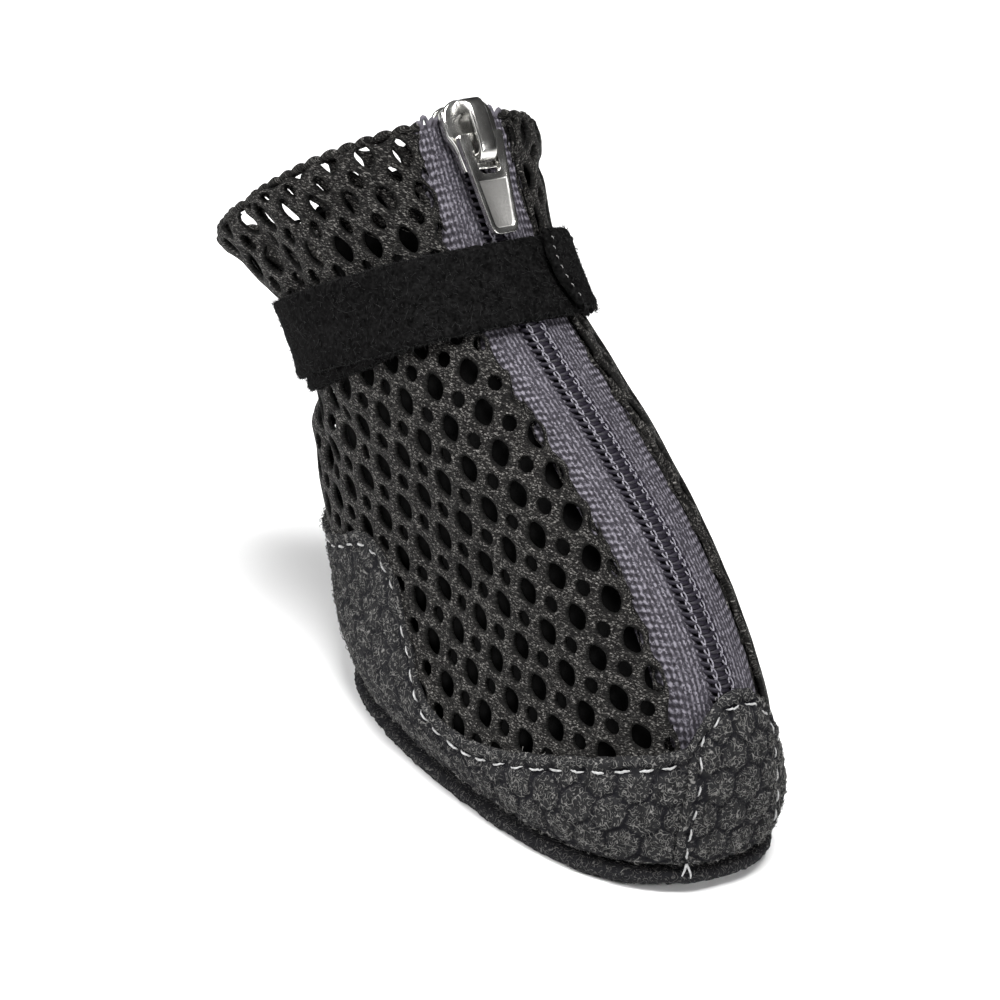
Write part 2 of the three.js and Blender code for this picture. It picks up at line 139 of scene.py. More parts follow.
softbox("light above", (0.15, -0.10, 0.90), 0.5, 16)
softbox("light from the left", (-0.35, -0.75, 0.50), 0.4, 9.8)
softbox("light from the right", (0.75, 0.10, 0.35), 0.3, 3.8)


# Last: the form the boot is sewn over. Each row is one flat section of it, from the feather edge
# to the collar, and everything soft is laid on it by section, angle from the toe, and height.
LAST = np.array([  # front x, front z, back x, back z, half width, taper
    (40.2, 3.3, -38.8, 3.3, 18.8, 0.10),
    (41.1, 9.5, -43.2, 10.2, 21.2, 0.07),
    (40.4, 19.0, -49.6, 17.5, 19.0, 0.03),
    (35.4, 30.8, -55.0, 25.5, 17.3, 0),
    (21.4, 43.8, -56.6, 32.0, 17.2, 0),
    (4.4, 54.2, -56.0, 37.2, 17.9, 0),
    (-8.6, 60.8, -55.2, 40.6, 18.0, 0),
    (-17.6, 66.0, -55.8, 43.6, 17.3, 0),
    (-22.5, 70.4, -58.9, 47.2, 17.0, 0),
    (-26.8, 74.8, -62.8, 50.8, 17.4, 0),
    (-30.6, 79.2, -67.6, 53.0, 18.9, 0),
    (-34.1, 83.5, -72.4, 54.4, 20.6, 0),
    (-37.5, 87.8, -77.0, 56.4, 22.2, 0),
    (-40.8, 91.8, -81.0, 59.0, 23.4, 0),
])
TOP = 13
CORNER_POWER = 2 / 2.4
FLAT_HALF = 26
TOE_SPRING, HEEL_SPRING, SPRING_RUN, SPRING_HEIGHT = 1.2, 1.5, 14, 30


def spring(x):
    rise = np.where(x > 0, TOE_SPRING, HEEL_SPRING)
    return rise * np.clip((np.abs(x) - FLAT_HALF) / SPRING_RUN, 0, 1) ** 2


def section_rows(section):
    """The last's six numbers at any sections, on a smooth curve through the table."""
    knots = np.vstack([2 * LAST[0] - LAST[1], LAST, 2 * LAST[-1] - LAST[-2]])
    s = np.clip(section, 0, TOP)
    i = np.minimum(s.astype(int), TOP - 1)
    t = (s - i)[:, None]
    p0, p1, p2, p3 = knots[i], knots[i + 1], knots[i + 2], knots[i + 3]
    m0, m1 = (p2 - p0) / 2, (p3 - p1) / 2
    cubic = 2 * p1 - 2 * p2 + m0 + m1
    return p1 + m0 * t + (3 * p2 - 3 * p1 - 2 * m0 - m1) * t**2 + cubic * t**3


def on_last(section, angle, height=0.0):
    """Points on the last, in millimetres, at a height over its surface. Angles are degrees."""
    section, angle, height = np.broadcast_arrays(
        np.asarray(section, float), np.asarray(angle, float), np.asarray(height, float))
    shape = section.shape
    section, angle, height = section.ravel(), np.radians(angle.ravel()), height.ravel()
    row = section_rows(section)
    front, back = row[:, (0, 1)], row[:, (2, 3)]
    middle, along = (front + back) / 2, (front - back) / 2
    half_length = np.linalg.norm(along, axis=1)
    along /= half_length[:, None]
    c, s = np.cos(angle), np.sin(angle)
    forward = np.sign(c) * np.abs(c) ** CORNER_POWER * (half_length + height)
    across = np.sign(s) * np.abs(s) ** CORNER_POWER * (row[:, 4] * (1 + row[:, 5] * c) + height)
    xz = middle + along * forward[:, None]
    over = section - TOP
    rim = LAST[-1, :2] - LAST[-2, :2]
    xz += np.clip(over, 0, None)[:, None] * rim
    x, z = xz[:, 0], xz[:, 1]
    z = z + spring(x) * np.clip(1 - (z - LAST[0, 1]) / SPRING_HEIGHT, 0, 1)
    return np.stack([x, across, z], 1).reshape(*shape, 3)


def angle_across(section, distance, height=0.0):
    """Angle, in degrees, at which a section's front is that far from the middle plane."""
    row = section_rows(np.atleast_1d(np.asarray(section, float)))
    share = np.abs(distance) / (row[:, 4] * (1 + row[:, 5]) + height)
    return np.sign(distance) * np.degrees(np.arcsin(np.clip(share, 0, 1) ** (1 / CORNER_POWER)))


# Each side of the last is laid flat in the middle plane, so that cloth patterns keep their real
# size: a section becomes a straight line of its own length, centred where the side is widest.
SECTION_STEPS = np.linspace(0, TOP, 261)
ANGLE_STEPS = np.linspace(0, 180, 181)
side_points = on_last(SECTION_STEPS[:, None], ANGLE_STEPS[None, :])
step_lengths = np.linalg.norm(np.diff(side_points, axis=1), axis=2)
girths = np.concatenate([np.zeros((len(SECTION_STEPS), 1)), np.cumsum(step_lengths, 1)], 1)
girths = girths[:, 90:91] - girths


def section_line(section):
    """Sections as lines in the middle plane: their middles, and their ways towards the toe."""
    row = section_rows(section)
    along = row[:, :2] - row[:, 2:4]
    return (row[:, :2] + row[:, 2:4]) / 2, along / np.linalg.norm(along, axis=1)[:, None]


line_middle, line_along = section_line(SECTION_STEPS)
line_up = np.stack([-line_along[:, 1], line_along[:, 0]], 1)


def girth_at(section, angle):
    """Distance round the side from its widest place, towards the toe, at section and angle."""
    k = np.clip(section / TOP * (len(SECTION_STEPS) - 1), 0, len(SECTION_STEPS) - 1.001)
    a = np.clip(angle, 0, 179.999)
    k0, a0 = k.astype(int), a.astype(int)
    ks, fa = k - k0, a - a0
    low = girths[k0, a0] * (1 - fa) + girths[k0, a0 + 1] * fa
    high = girths[k0 + 1, a0] * (1 - fa) + girths[k0 + 1, a0 + 1] * fa
    return low * (1 - ks) + high * ks


def find_on_side(flat):
    """Section and girth of flat cloth places."""
    offset = flat[:, None, :] - line_middle[None, :, :]
    above = np.einsum("nkj,kj->nk", offset, line_up)
    crossing = (above[:, :-1] > 0) & (above[:, 1:] <= 0)
    found = np.where(crossing.any(1), crossing.argmax(1), np.where(above[:, 0] <= 0, 0, len(line_up) - 2))
    rows = np.arange(len(flat))
    high, low = above[rows, found], above[rows, found + 1]
    share = high / np.where(np.abs(high - low) < 1e-9, 1, high - low)
    section = (found + share) * TOP / (len(SECTION_STEPS) - 1)
    middle, along = section_line(np.clip(section, 0, TOP))
    return section, ((flat - middle) * along).sum(1)


def angle_at(section, girth):
    """Angle from the toe, in degrees, at a distance round the side."""
    k = np.clip(section / TOP * (len(SECTION_STEPS) - 1), 0, len(SECTION_STEPS) - 1)
    result = np.empty(len(girth))
    for i, (place, distance) in enumerate(zip(np.rint(k).astype(int), girth)):
        result[i] = np.interp(-distance, -girths[place], ANGLE_STEPS)
    return result


# Creases: soft troughs and ridges that wearing and packing leave in the cloth. Each runs between
# two places on the last, and is so wide and so deep in millimetres; a minus is a trough.
CREASES = [  # section and angle of one end, of the other end, half width, height
    (6.9, -150, 4.2, -128, 2.6, -1.5),
    (6.8, -165, 4.6, -150, 2.2, 1.2),
    (6.9, -122, 4.9, -100, 2.2, -0.9),
    (6.6, 150, 4.4, 128, 2.6, -1.4),
    (6.8, 170, 4.4, 160, 2.4, 1.0),
    (6.7, 118, 5.2, 92, 2.2, -0.8),
    (9.2, -150, 12.8, -158, 3.0, -2.2),
    (9.2, -128, 12.4, -130, 3.2, 0.9),
    (9.3, -100, 12.0, -97, 2.6, -1.3),
    (9.2, 150, 12.9, 160, 3.2, -2.0),
    (9.2, 126, 12.4, 124, 3.0, 0.9),
    (9.2, 178, 12.2, 178, 3.4, 0.7),
    (9.3, -66, 11.4, -60, 2.4, -0.9),
    (9.3, 64, 11.6, 70, 2.6, -1.0),
    (3.0, -90, 4.2, -60, 3.5, -0.5),
]


def creased(section, angle):
    """Height that the creases add at places on the last."""
    place = on_last(np.clip(section, 0, TOP), angle)
    height = np.zeros(len(place))
    for s0, a0, s1, a1, half, size in CREASES:
        line = on_last(np.linspace(s0, s1, 9), np.linspace(a0, a1, 9))
        nearest = np.full(len(place), np.inf)
        for start, end in zip(line[:-1], line[1:]):
            edge = end - start
            t = np.clip(((place - start) @ edge) / (edge @ edge), 0, 1)
            nearest = np.minimum(nearest, np.linalg.norm(place - start - t[:, None] * edge, axis=1))
        height += size * np.exp(-((nearest / half) ** 2))
    return height


def lumps(points, scale, seed=0.0):
    """Smooth random values, -1 to 1, at points in millimetres, with lumps of that size."""
    return np.array([noise.noise(Vector(p) / scale + Vector((seed, seed * 2, -seed))) for p in points])


def make_piece(name, bm, material, body="boot", replaces=(), cloth=None, values=None, modifiers=()):
    """Makes an object of a bmesh in millimetres. Cloth is a flat place for each vertex, in
    millimetres, kept as a UV map; values are numbers for each vertex that a material reads."""
    mesh = bpy.data.meshes.new(name)
    for v in bm.verts:
        v.co *= MM
    bm.to_mesh(mesh)
    bm.free()
    mesh.shade_smooth()
    if cloth is not None:
        corner = np.empty(len(mesh.loops), np.int32)
        mesh.loops.foreach_get("vertex_index", corner)
        layer = mesh.uv_layers.new(name="cloth")
        layer.data.foreach_set("uv", np.asarray(cloth, np.float32)[corner].ravel())
    for key, numbers in (values or {}).items():
        layer = mesh.attributes.new(key, "FLOAT", "POINT")
        layer.data.foreach_set("value", np.asarray(numbers, np.float32))
    mesh.materials.append(material)
    piece = bpy.data.objects.new(name, mesh)
    bpy.context.scene.collection.objects.link(piece)
    for kind, settings in modifiers:
        modifier = piece.modifiers.new(kind.lower(), kind)
        for key, value in settings.items():
            setattr(modifier, key, value)
    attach(piece, body)
    if replaces:
        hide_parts(*replaces)
    return piece


def grid_sheet(across, up):
    """A flat grid; returns its bmesh and each vertex's share across and up, from 0 to 1."""
    bm = bmesh.new()
    bmesh.ops.create_grid(bm, x_segments=across, y_segments=up, size=0.5)
    shares = np.array([v.co[:2] for v in bm.verts]) + 0.5
    return bm, shares[:, 0], shares[:, 1]


def set_places(bm, places):
    for v, place in zip(bm.verts, places):
        v.co = place


def thick(depth, offset=-1.0):
    return ("SOLIDIFY", {"thickness": depth * MM, "offset": offset, "use_even_offset": False})


# Embossed suede: split leather pressed into hexagon pads about 5.4 mm apart, with worn, curly
# light fibres on the pads and bare dark grooves between them. One cloth for sole, rand and cap.
PAD_PITCH, PAD_ROW, GROOVE = 5.4, 4.7, 0.34


def smooth_step(t):
    t = np.clip(t, 0, 1)
    return t * t * (3 - 2 * t)


def pad_height(flat, seed=0.0):
    """1 on a hexagon pad, 0 in the groove round it, at flat places in millimetres."""
    wobble = np.stack([lumps(np.c_[flat, np.full(len(flat), k)], 5.0, seed + k) for k in (1.0, 5.0)], 1)
    ragged = np.stack([lumps(np.c_[flat, np.full(len(flat), k)], 0.9, seed + k) for k in (2.0, 7.0)], 1)
    p = flat + 0.6 * wobble + 0.16 * ragged
    row = np.rint(p[:, 1] / PAD_ROW)
    best = np.full(len(p), np.inf)
    second = np.full(len(p), np.inf)
    for dr in (-1, 0, 1):
        r = row + dr
        shift = (np.abs(r) % 2) * PAD_PITCH / 2
        column = np.rint((p[:, 0] - shift) / PAD_PITCH)
        for dc in (-1, 0, 1):
            centre = np.stack([(column + dc) * PAD_PITCH + shift, r * PAD_ROW], 1)
            distance = np.linalg.norm(p - centre, axis=1)
            second = np.where(distance < best, best, np.minimum(second, distance))
            best = np.minimum(best, distance)
    edge = (second - best) / 2
    return smooth_step((edge - GROOVE * 0.3) / (GROOVE * 1.3))


def finish_surface(tree, shader, colour, roughness, gloss=0.5, height=None, bump=None):
    """Gives a shader its colour, roughness and gloss; bump is the height's strength and depth."""
    tree.links.new(colour, shader.inputs["Base Color"])
    shader.inputs["Roughness"].default_value = roughness
    shader.inputs["Specular IOR Level"].default_value = gloss
    if bump:
        relief = add_node(tree, "Bump", {"Height": height}, {"Strength": bump[0], "Distance": bump[1]})
        tree.links.new(relief.outputs[0], shader.inputs["Normal"])


suede, tree, shader = new_material("embossed split suede")
coords = add_node(tree, "TexCoord").outputs["Object"]
pad = add_node(tree, "Attribute", attribute_name="pad").outputs["Fac"]
# Curly fibres: thin contour lines of a soft noise, broken up by a second noise.
curls = []
for scale, rings, offset in ((520.0, 9.0, 0.0), (760.0, 7.0, 3.0)):
    shifted = add_node(tree, "VectorMath", {0: coords}, {1: (offset, offset, offset)}, operation="ADD")
    swirl = add_node(tree, "TexNoise", {"Vector": shifted.outputs[0]}, {"Scale": scale, "Detail": 1.0})
    contour = add_node(tree, "Math", {0: swirl.outputs["Fac"]}, {1: rings}, operation="MULTIPLY")
    line = add_node(tree, "Math", {0: contour.outputs[0]}, {1: 0.5}, operation="PINGPONG")
    thin = add_node(tree, "MapRange", {"Value": line.outputs[0]},
                    {"From Min": 0.03, "From Max": 0.17, "To Min": 1.0, "To Max": 0.0})
    breaks = add_node(tree, "TexNoise", {"Vector": shifted.outputs[0]}, {"Scale": scale * 2.2, "Detail": 0.0})
    broken = add_node(tree, "MapRange", {"Value": breaks.outputs["Fac"]}, {"From Min": 0.47, "From Max": 0.58})
    curls.append(add_node(tree, "Math", {0: thin.outputs[0], 1: broken.outputs[0]}, operation="MULTIPLY"))
fibre = add_node(tree, "Math", {0: curls[0].outputs[0], 1: curls[1].outputs[0]}, operation="MAXIMUM")
worn = add_node(tree, "Math", {0: fibre.outputs[0], 1: pad}, operation="MULTIPLY")
mottle = add_node(tree, "TexNoise", {"Vector": coords}, {"Scale": 900.0, "Detail": 3.0})
nap = add_node(tree, "Mix", {"Factor": mottle.outputs["Fac"]}, {6: linear("#0a0a0b"), 7: linear("#272728")},
               data_type="RGBA")
base = add_node(tree, "Mix", {"Factor": pad, 7: nap.outputs[2]}, {6: linear("#0e0e12")}, data_type="RGBA")
lit = add_node(tree, "Mix", {"Factor": worn.outputs[0], 6: base.outputs[2]}, {7: linear("#72716f")},
               data_type="RGBA")
rough_height = add_node(tree, "Math", {0: mottle.outputs["Fac"], 2: fibre.outputs[0]}, {1: 1.5},
                        operation="MULTIPLY_ADD")
finish_surface(tree, shader, lit.outputs[2], 0.95, 0.1, rough_height.outputs[0], (0.8, 0.0003))

# Outsole: a flat piece of the suede whose raw edge curls up to the seam under the rand.
GAP, RAND_THICKNESS = 0.3, 1.4
EDGE = GAP + RAND_THICKNESS + 0.2
PAD_DEEP, RAW_DEEP = 0.35, 0.32  # the grooves between pads, and the raw edge's unevenness
FIBRE_ROOM = 0.1  # the worn fibres under the sole fill this much over the floor


def verts_of(geom):
    return [g for g in geom if isinstance(g, bmesh.types.BMVert)]


bm = bmesh.new()
bmesh.ops.create_circle(bm, cap_ends=False, segments=300, radius=1)
edge_loop = list(bm.verts)
turn = np.degrees([math.atan2(v.co.y, v.co.x) for v in edge_loop])
# Rings from the floor's middle out and up round the curled edge, then in over the top.
rings = [(share, 0.0, -1.3) for share in np.linspace(0.02, 1, 76)[:-1]]
rings += [(1, 0.0, -1.3), (1, 0.06, -0.85), (1, 0.25, -0.45), (1, 0.55, -0.1), (1, 0.9, 0.1), (1, 1.3, 0.2),
          (1, 1.7, 0.15), (1, 2.1, -0.1), (1, 2.4, -0.55), (0.9, 2.4, -0.75), (0.4, 2.4, -0.75)]
outline = {out: on_last(0.0, turn, EDGE + out) for out in sorted({ring[2] for ring in rings})}
loops = []
for k, (share, height, out) in enumerate(rings):
    if k:
        edges = list({e for v in edge_loop for e in v.link_edges if e.other_vert(v) in set(edge_loop)})
        new_verts = verts_of(bmesh.ops.extrude_edge_only(bm, edges=edges)["geom"])
        order = {tuple(round(c, 6) for c in v.co): i for i, v in enumerate(edge_loop)}
        edge_loop = sorted(new_verts, key=lambda v: order[tuple(round(c, 6) for c in v.co)])
    for v, at in zip(edge_loop, outline[out]):
        x, y = at[0] * share, at[1] * share
        v.co = (x, y, height + float(spring(np.array(x))))
    loops.append(list(edge_loop))
for ring in (loops[0], loops[-1]):
    bmesh.ops.contextual_create(bm, geom=ring)
bmesh.ops.recalc_face_normals(bm, faces=bm.faces)
bm.verts.index_update()
places = np.array([v.co for v in bm.verts])
sole_pads = pad_height(places[:, :2] + (0, PAD_ROW / 2))
rise = places[:, 2] - spring(places[:, 0])
ragged = lumps(places, 0.8, 12.0)
bm.normal_update()
for v, pad_here, up, rag in zip(bm.verts, sole_pads, rise, ragged):
    if up < 2.3:
        v.co -= v.normal * (PAD_DEEP * (1 - pad_here) * (up < 0.1) - RAW_DEEP * rag * (up > 0.1))
        v.co.z = max(v.co.z, FIBRE_ROOM)
sole = make_piece("sole_suede", bm, suede, replaces=["outsole"], cloth=places[:, :2],
                  values={"pad": np.where(rise < 0.1, sole_pads, 0.5)})

# Insole and lining: a loose woven pad on the sole, and a thin near-black sheet behind the mesh from
# the pad up to the strap, whose colour is painted shade: the dark inside of the boot seen through the eyelets
# of the foot.


def two_toned(name, scale, detail, dark, light, roughness, gloss=0.5, bump=None):
    """A material that a fine noise mottles between two colours, and that the same noise bumps."""
    material, tree, shader = new_material(name)
    coords = add_node(tree, "TexCoord").outputs["Object"]
    grain = add_node(tree, "TexNoise", {"Vector": coords}, {"Scale": scale, "Detail": detail})
    mix = add_node(tree, "Mix", {"Factor": grain.outputs["Fac"]}, {6: linear(dark), 7: linear(light)},
                   data_type="RGBA")
    finish_surface(tree, shader, mix.outputs[2], roughness, gloss, grain.outputs["Fac"], bump)
    return material


# Painted shade: the sheet is near black, darker than the knit, and stands for the shade inside the boot behind
# the eyelets.
inner_shade_sheet_material = two_toned("near-black sheet painting inner shade", 900.0, 2.0, "#040404", "#0d0d0d", 0.9, 0.05, (0.4, 0.0002))

# It reaches to the strap at the heel, and beside the zip nearly to the rim.
LINING_LOW, LINING_INSET, LINING_FRONT = 0.15, 2.6, 6.2
bm, u, v = grid_sheet(120, 80)
turned = np.abs(((360 * u) + 180) % 360 - 180)
lining_top = np.interp(turned, (0, 68, 94, 180), (11.7, 11.4, 8.4, 8.4))
section = LINING_LOW + (lining_top - LINING_LOW) * v
edge = angle_across(np.clip(section, 2.6, TOP), LINING_FRONT)
angle = edge + (360 - 2 * edge) * u
set_places(bm, on_last(section, angle, -LINING_INSET + 0.5 * np.clip(creased(section, angle), -1.5, 0.5)))
bmesh.ops.reverse_faces(bm, faces=bm.faces)
make_piece("lining", bm, inner_shade_sheet_material, modifiers=[thick(0.2)])

weave, tree, shader = new_material("woven insole cloth")
coords = add_node(tree, "TexCoord").outputs["Object"]
threads = []
for direction in ("X", "Y"):
    wave = add_node(tree, "TexWave", {"Vector": coords}, bands_direction=direction,
                    sockets={"Scale": 500.0, "Distortion": 0.6, "Detail": 1.0})
    threads.append(wave.outputs["Fac"])
cross = add_node(tree, "Math", {0: threads[0], 1: threads[1]}, operation="MULTIPLY")
cloth_mix = add_node(tree, "Mix", {"Factor": cross.outputs[0]}, {6: linear("#121214"), 7: linear("#2b2b2d")},
                     data_type="RGBA")
finish_surface(tree, shader, cloth_mix.outputs[2], 0.9, height=cross.outputs[0], bump=(0.6, 0.0002))

INSOLE_LOW, INSOLE_HIGH, INSOLE_INSET, INSOLE_RING = 3.3, 5.1, 2.0, 2.6
bm = bmesh.new()
bmesh.ops.create_circle(bm, cap_ends=True, segments=96, radius=1)
turn = np.degrees([math.atan2(w.co.y, w.co.x) for w in bm.verts])
for w, at in zip(bm.verts, on_last(0.0, turn, -INSOLE_INSET)):
    w.co = (at[0], at[1], INSOLE_LOW)
raised = bmesh.ops.extrude_face_region(bm, geom=bm.faces[:])["geom"]
bmesh.ops.translate(bm, vec=(0, 0, INSOLE_HIGH - INSOLE_LOW), verts=verts_of(raised))
bmesh.ops.recalc_face_normals(bm, faces=bm.faces)
rims = [e for e in bm.edges if len(e.link_faces) == 2 and e.calc_face_angle() > 1]
bmesh.ops.bevel(bm, geom=rims, offset=0.7, segments=3, profile=0.5, affect="EDGES", material=-1)
for _ in range(5):
    caps = [f for f in bm.faces if len(f.verts) > 20]
    bmesh.ops.inset_region(bm, faces=caps, thickness=INSOLE_RING)
for w in bm.verts:
    w.co.z += float(spring(np.array(w.co.x))) + 0.25 * noise.noise(w.co / 9)
make_piece("insole_pad", bm, weave, replaces=["insole"])

# Upper: warp-knit polyester mesh in two panels that meet at the heel. Rows of large and small
# eyelets run with the zip; the collar is turned in and stitched down as a hem, and a folded strip
# of the same mesh lies under the panel's edge beside each zip tape.
CELL_ACROSS = np.array((-4.6, -3.9))
CELL_ALONG = np.array((5.6, -4.3))
EYE_LONG, EYE_WIDE = 2.4, 1.38
SMALL_LONG, SMALL_WIDE = 2.12, 1.6
TIGHT_FROM, TIGHTER = 4.0, 0.9
CORNER_SHARE = 0.14
MESH_DEPTH = 1.0
MESH_FRONT = 7.75
FOLD_REACH = 2.6
COLLAR_TURN = math.radians(-13.5)
COLLAR_PIVOT = np.array((-42.0, 58.0))
HEM_SECTION = 11.2
HEM_UNDER, FOLD_UNDER = 1.3, 1.15
RAND_TOP = np.array([
    (18, 2.34), (26, 2.24), (38, 2.12), (55, 1.86), (76, 1.38), (86, 1.20), (92, 1.30), (96, 1.75), (98, 2.50),
    (101, 3.02), (107, 3.24), (114, 3.12), (122, 2.82), (132, 2.56), (150, 2.46), (180, 2.44)])

mesh_yarn, tree, shader = new_material("black knitted polyester")
cloth = add_node(tree, "UVMap", uv_map="cloth").outputs[0]
rim_share = add_node(tree, "Attribute", attribute_name="rim").outputs["Fac"]
dashes = []
for turn_by, offset in ((0.35, 0.0), (-0.95, 7.0)):
    turned = add_node(tree, "Mapping", {"Vector": cloth}, {
        "Rotation": (0, 0, turn_by), "Location": (offset, offset, 0), "Scale": (1.9, 5.2, 1)})
    dashes.append(add_node(tree, "TexVoronoi", {"Vector": turned.outputs[0]}, feature="F1",
                           sockets={"Scale": 1.0, "Randomness": 0.85}))
patch = add_node(tree, "TexNoise", {"Vector": cloth}, {"Scale": 2.1, "Detail": 1.0})
choice = add_node(tree, "Math", {0: patch.outputs["Fac"]}, {1: 0.5}, operation="GREATER_THAN")
which = add_node(tree, "Mix", {"Factor": choice.outputs[0], 2: dashes[0].outputs["Distance"],
                               3: dashes[1].outputs["Distance"]}, data_type="FLOAT")
tone = add_node(tree, "Mix", {"Factor": choice.outputs[0], 6: dashes[0].outputs["Color"],
                              7: dashes[1].outputs["Color"]}, data_type="RGBA")
ply = add_node(tree, "MapRange", {"Value": which.outputs[0]},
               {"From Min": 0.25, "From Max": 0.7, "To Min": 1.0, "To Max": 0.0})
tone_value = add_node(tree, "SeparateColor", {"Color": tone.outputs[2]})
fleck = add_node(tree, "ValToRGB", {"Fac": tone_value.outputs[0]},
                 stops=((0.12, "#131312"), (0.95, "#72706d"), (0.58, "#32312f")))
shade = add_node(tree, "Mix", {"Factor": ply.outputs[0], 7: fleck.outputs[0]}, {6: linear("#070606")},
                 data_type="RGBA")
# Painted shade: the yarn darkens to near black towards each eyelet's rim, where the cloth turns down into the
# hole.
hole_rim_shade_fade = add_node(tree, "MapRange", {"Value": rim_share}, {"From Min": 0.55, "From Max": 1.05})
rim_painted_shade = add_node(tree, "Mix", {"Factor": hole_rim_shade_fade.outputs[0], 6: shade.outputs[2]},
                    {7: linear("#0a0a09")}, data_type="RGBA")
finish_surface(tree, shader, rim_painted_shade.outputs[2], 0.7, 0.08, ply.outputs[0], (0.9, 0.0002))


def turned_for_collar(flat):
    """The knit lies more upright over the strap than under it."""
    section, _ = find_on_side(flat)
    turn = COLLAR_TURN * smooth_step((section - 7.2) / 1.6)
    x, z = (flat - COLLAR_PIVOT).T
    c, s = np.cos(turn), np.sin(turn)
    return COLLAR_PIVOT + np.stack([x * c - z * s, x * s + z * c], 1)


def tightened(girth):
    """Near the zip the knit is drawn together, so its columns stand closer than on the side."""
    return np.where(girth > TIGHT_FROM, TIGHT_FROM + (girth - TIGHT_FROM) * TIGHTER, girth)


def eyelet(bm, rim_mark, centre, corners, half_long, half_wide):
    """One eyelet's rim: a ring of faces from the corners round it to the oval hole."""
    ring = bmesh.ops.create_circle(bm, cap_ends=True, segments=len(corners), radius=1)["verts"]
    for w, (across, along) in zip(ring, corners):
        place = (centre[0] + across) * CELL_ACROSS + (centre[1] + along) * CELL_ALONG
        w.co = (place[0], place[1], 0)
    face = next(f for f in ring[0].link_faces if len(f.verts) == len(corners))
    bmesh.ops.inset_individual(bm, faces=[face], thickness=0.25)
    middle = Vector((*(centre[0] * CELL_ACROSS + centre[1] * CELL_ALONG), 0))
    grain_way = Vector((*CELL_ALONG, 0)).normalized()
    cross_way = Vector((-grain_way.y, grain_way.x, 0))
    for w in face.verts:
        spoke = w.co - middle
        turn = math.atan2(spoke.dot(cross_way) / half_wide, spoke.dot(grain_way) / half_long)
        w.co = middle + grain_way * half_long * math.cos(turn) + cross_way * half_wide * math.sin(turn)
        w[rim_mark] = 1.0
    bm.faces.remove(face)


def mesh_panel(name, side, low, high, height, phase, reach=None, replaces=()):
    """A panel of eyelets laid on one side of the last. Low and high give the section of its lower
    and upper edge at an angle; side is 1 on the foot's left; reach keeps only a strip so wide."""
    bm = bmesh.new()
    rim_mark = bm.verts.layers.float.new("rim")
    g = CORNER_SHARE
    eight = [(0.5, -g), (0.5, g), (g, 0.5), (-g, 0.5), (-0.5, g), (-0.5, -g), (-g, -0.5), (g, -0.5)]
    four = [(g - 0.5, 0), (0, g - 0.5), (0.5 - g, 0), (0, 0.5 - g)]
    eyelet(bm, rim_mark, (phase[0], phase[1]), eight, EYE_LONG, EYE_WIDE)
    eyelet(bm, rim_mark, (phase[0] + 0.5, phase[1] + 0.5), four, SMALL_LONG, SMALL_WIDE)
    cell = bm.verts[:] + bm.edges[:] + bm.faces[:]
    i, j = np.meshgrid(np.arange(-26, 27), np.arange(-26, 27), indexing="ij")
    steps_ij = np.stack([i.ravel(), j.ravel()], 1)
    centres = (steps_ij + phase)[:, :1] * CELL_ACROSS + (steps_ij + phase)[:, 1:] * CELL_ALONG

    def edges_at(section):
        inside = np.clip(section, 0, TOP)
        front = girth_at(inside, np.abs(angle_across(np.clip(section, 2, TOP), MESH_FRONT)))
        back = girth_at(inside, np.full(len(section), 180.0))
        return front, back if reach is None else front - reach

    section, girth = find_on_side(turned_for_collar(centres))
    girth = tightened(girth)
    angle = angle_at(section, girth)
    front, back = edges_at(section)
    near = (section > low(angle) - 0.6) & (section < high(angle) + 1.1)
    near &= (girth < front + 8) & (girth > back - 6)
    for (a, b), wanted in zip(steps_ij, near):
        if wanted and (a or b):
            shift = a * CELL_ACROSS + b * CELL_ALONG
            copy = bmesh.ops.duplicate(bm, geom=cell)["geom"]
            bmesh.ops.translate(bm, vec=(*shift, 0), verts=verts_of(copy))
    bmesh.ops.delete(bm, geom=verts_of(cell), context="VERTS")
    bmesh.ops.remove_doubles(bm, verts=bm.verts, dist=0.02)

    flat = turned_for_collar(np.array([w.co[:2] for w in bm.verts]))
    section, girth = find_on_side(flat)
    girth = tightened(girth)
    rims = np.array([w[rim_mark] for w in bm.verts])
    front, back = edges_at(section)
    top = high(angle_at(section, girth))
    out = (girth > front) | (section > top) | (girth < back)
    girth = np.clip(girth, back + 0.7 * rims, front - 0.7 * rims)
    section = np.minimum(section, top - 0.12 * rims)
    bm.verts.index_update()
    gone = [f for f in bm.faces if all(out[w.index] for w in f.verts)]
    angle = angle_at(section, girth) * side
    set_places(bm, on_last(section, angle, height(section, angle)))
    layer = bm.loops.layers.uv.new("cloth")
    for f in bm.faces:
        for corner in f.loops:
            corner[layer].uv = flat[corner.vert.index]
    bmesh.ops.delete(bm, geom=gone, context="FACES")
    if side < 0:
        bmesh.ops.reverse_faces(bm, faces=bm.faces)
    bmesh.ops.delete(bm, geom=[w for w in bm.verts if not w.link_faces], context="VERTS")
    bmesh.ops.dissolve_degenerate(bm, dist=0.03, edges=bm.edges)
    return make_piece(name, bm, mesh_yarn, replaces=replaces, modifiers=[
        thick(MESH_DEPTH), ("SUBSURF", {"levels": 1, "render_levels": 1})])


def under_rand(angle):
    """Where a panel may end, out of sight under the rand and the toe cap."""
    return np.interp(np.abs(angle), RAND_TOP[:, 0], RAND_TOP[:, 1]) - 0.5


def rim_at(angle):
    """The collar's rim droops a little towards the heel."""
    return np.interp(np.abs(angle), (0, 25, 60, 100, 140, 180), (12.6, 12.55, 12.5, 12.4, 12.3, 12.2))


def hem_at(angle):
    return np.full(len(angle), HEM_SECTION)


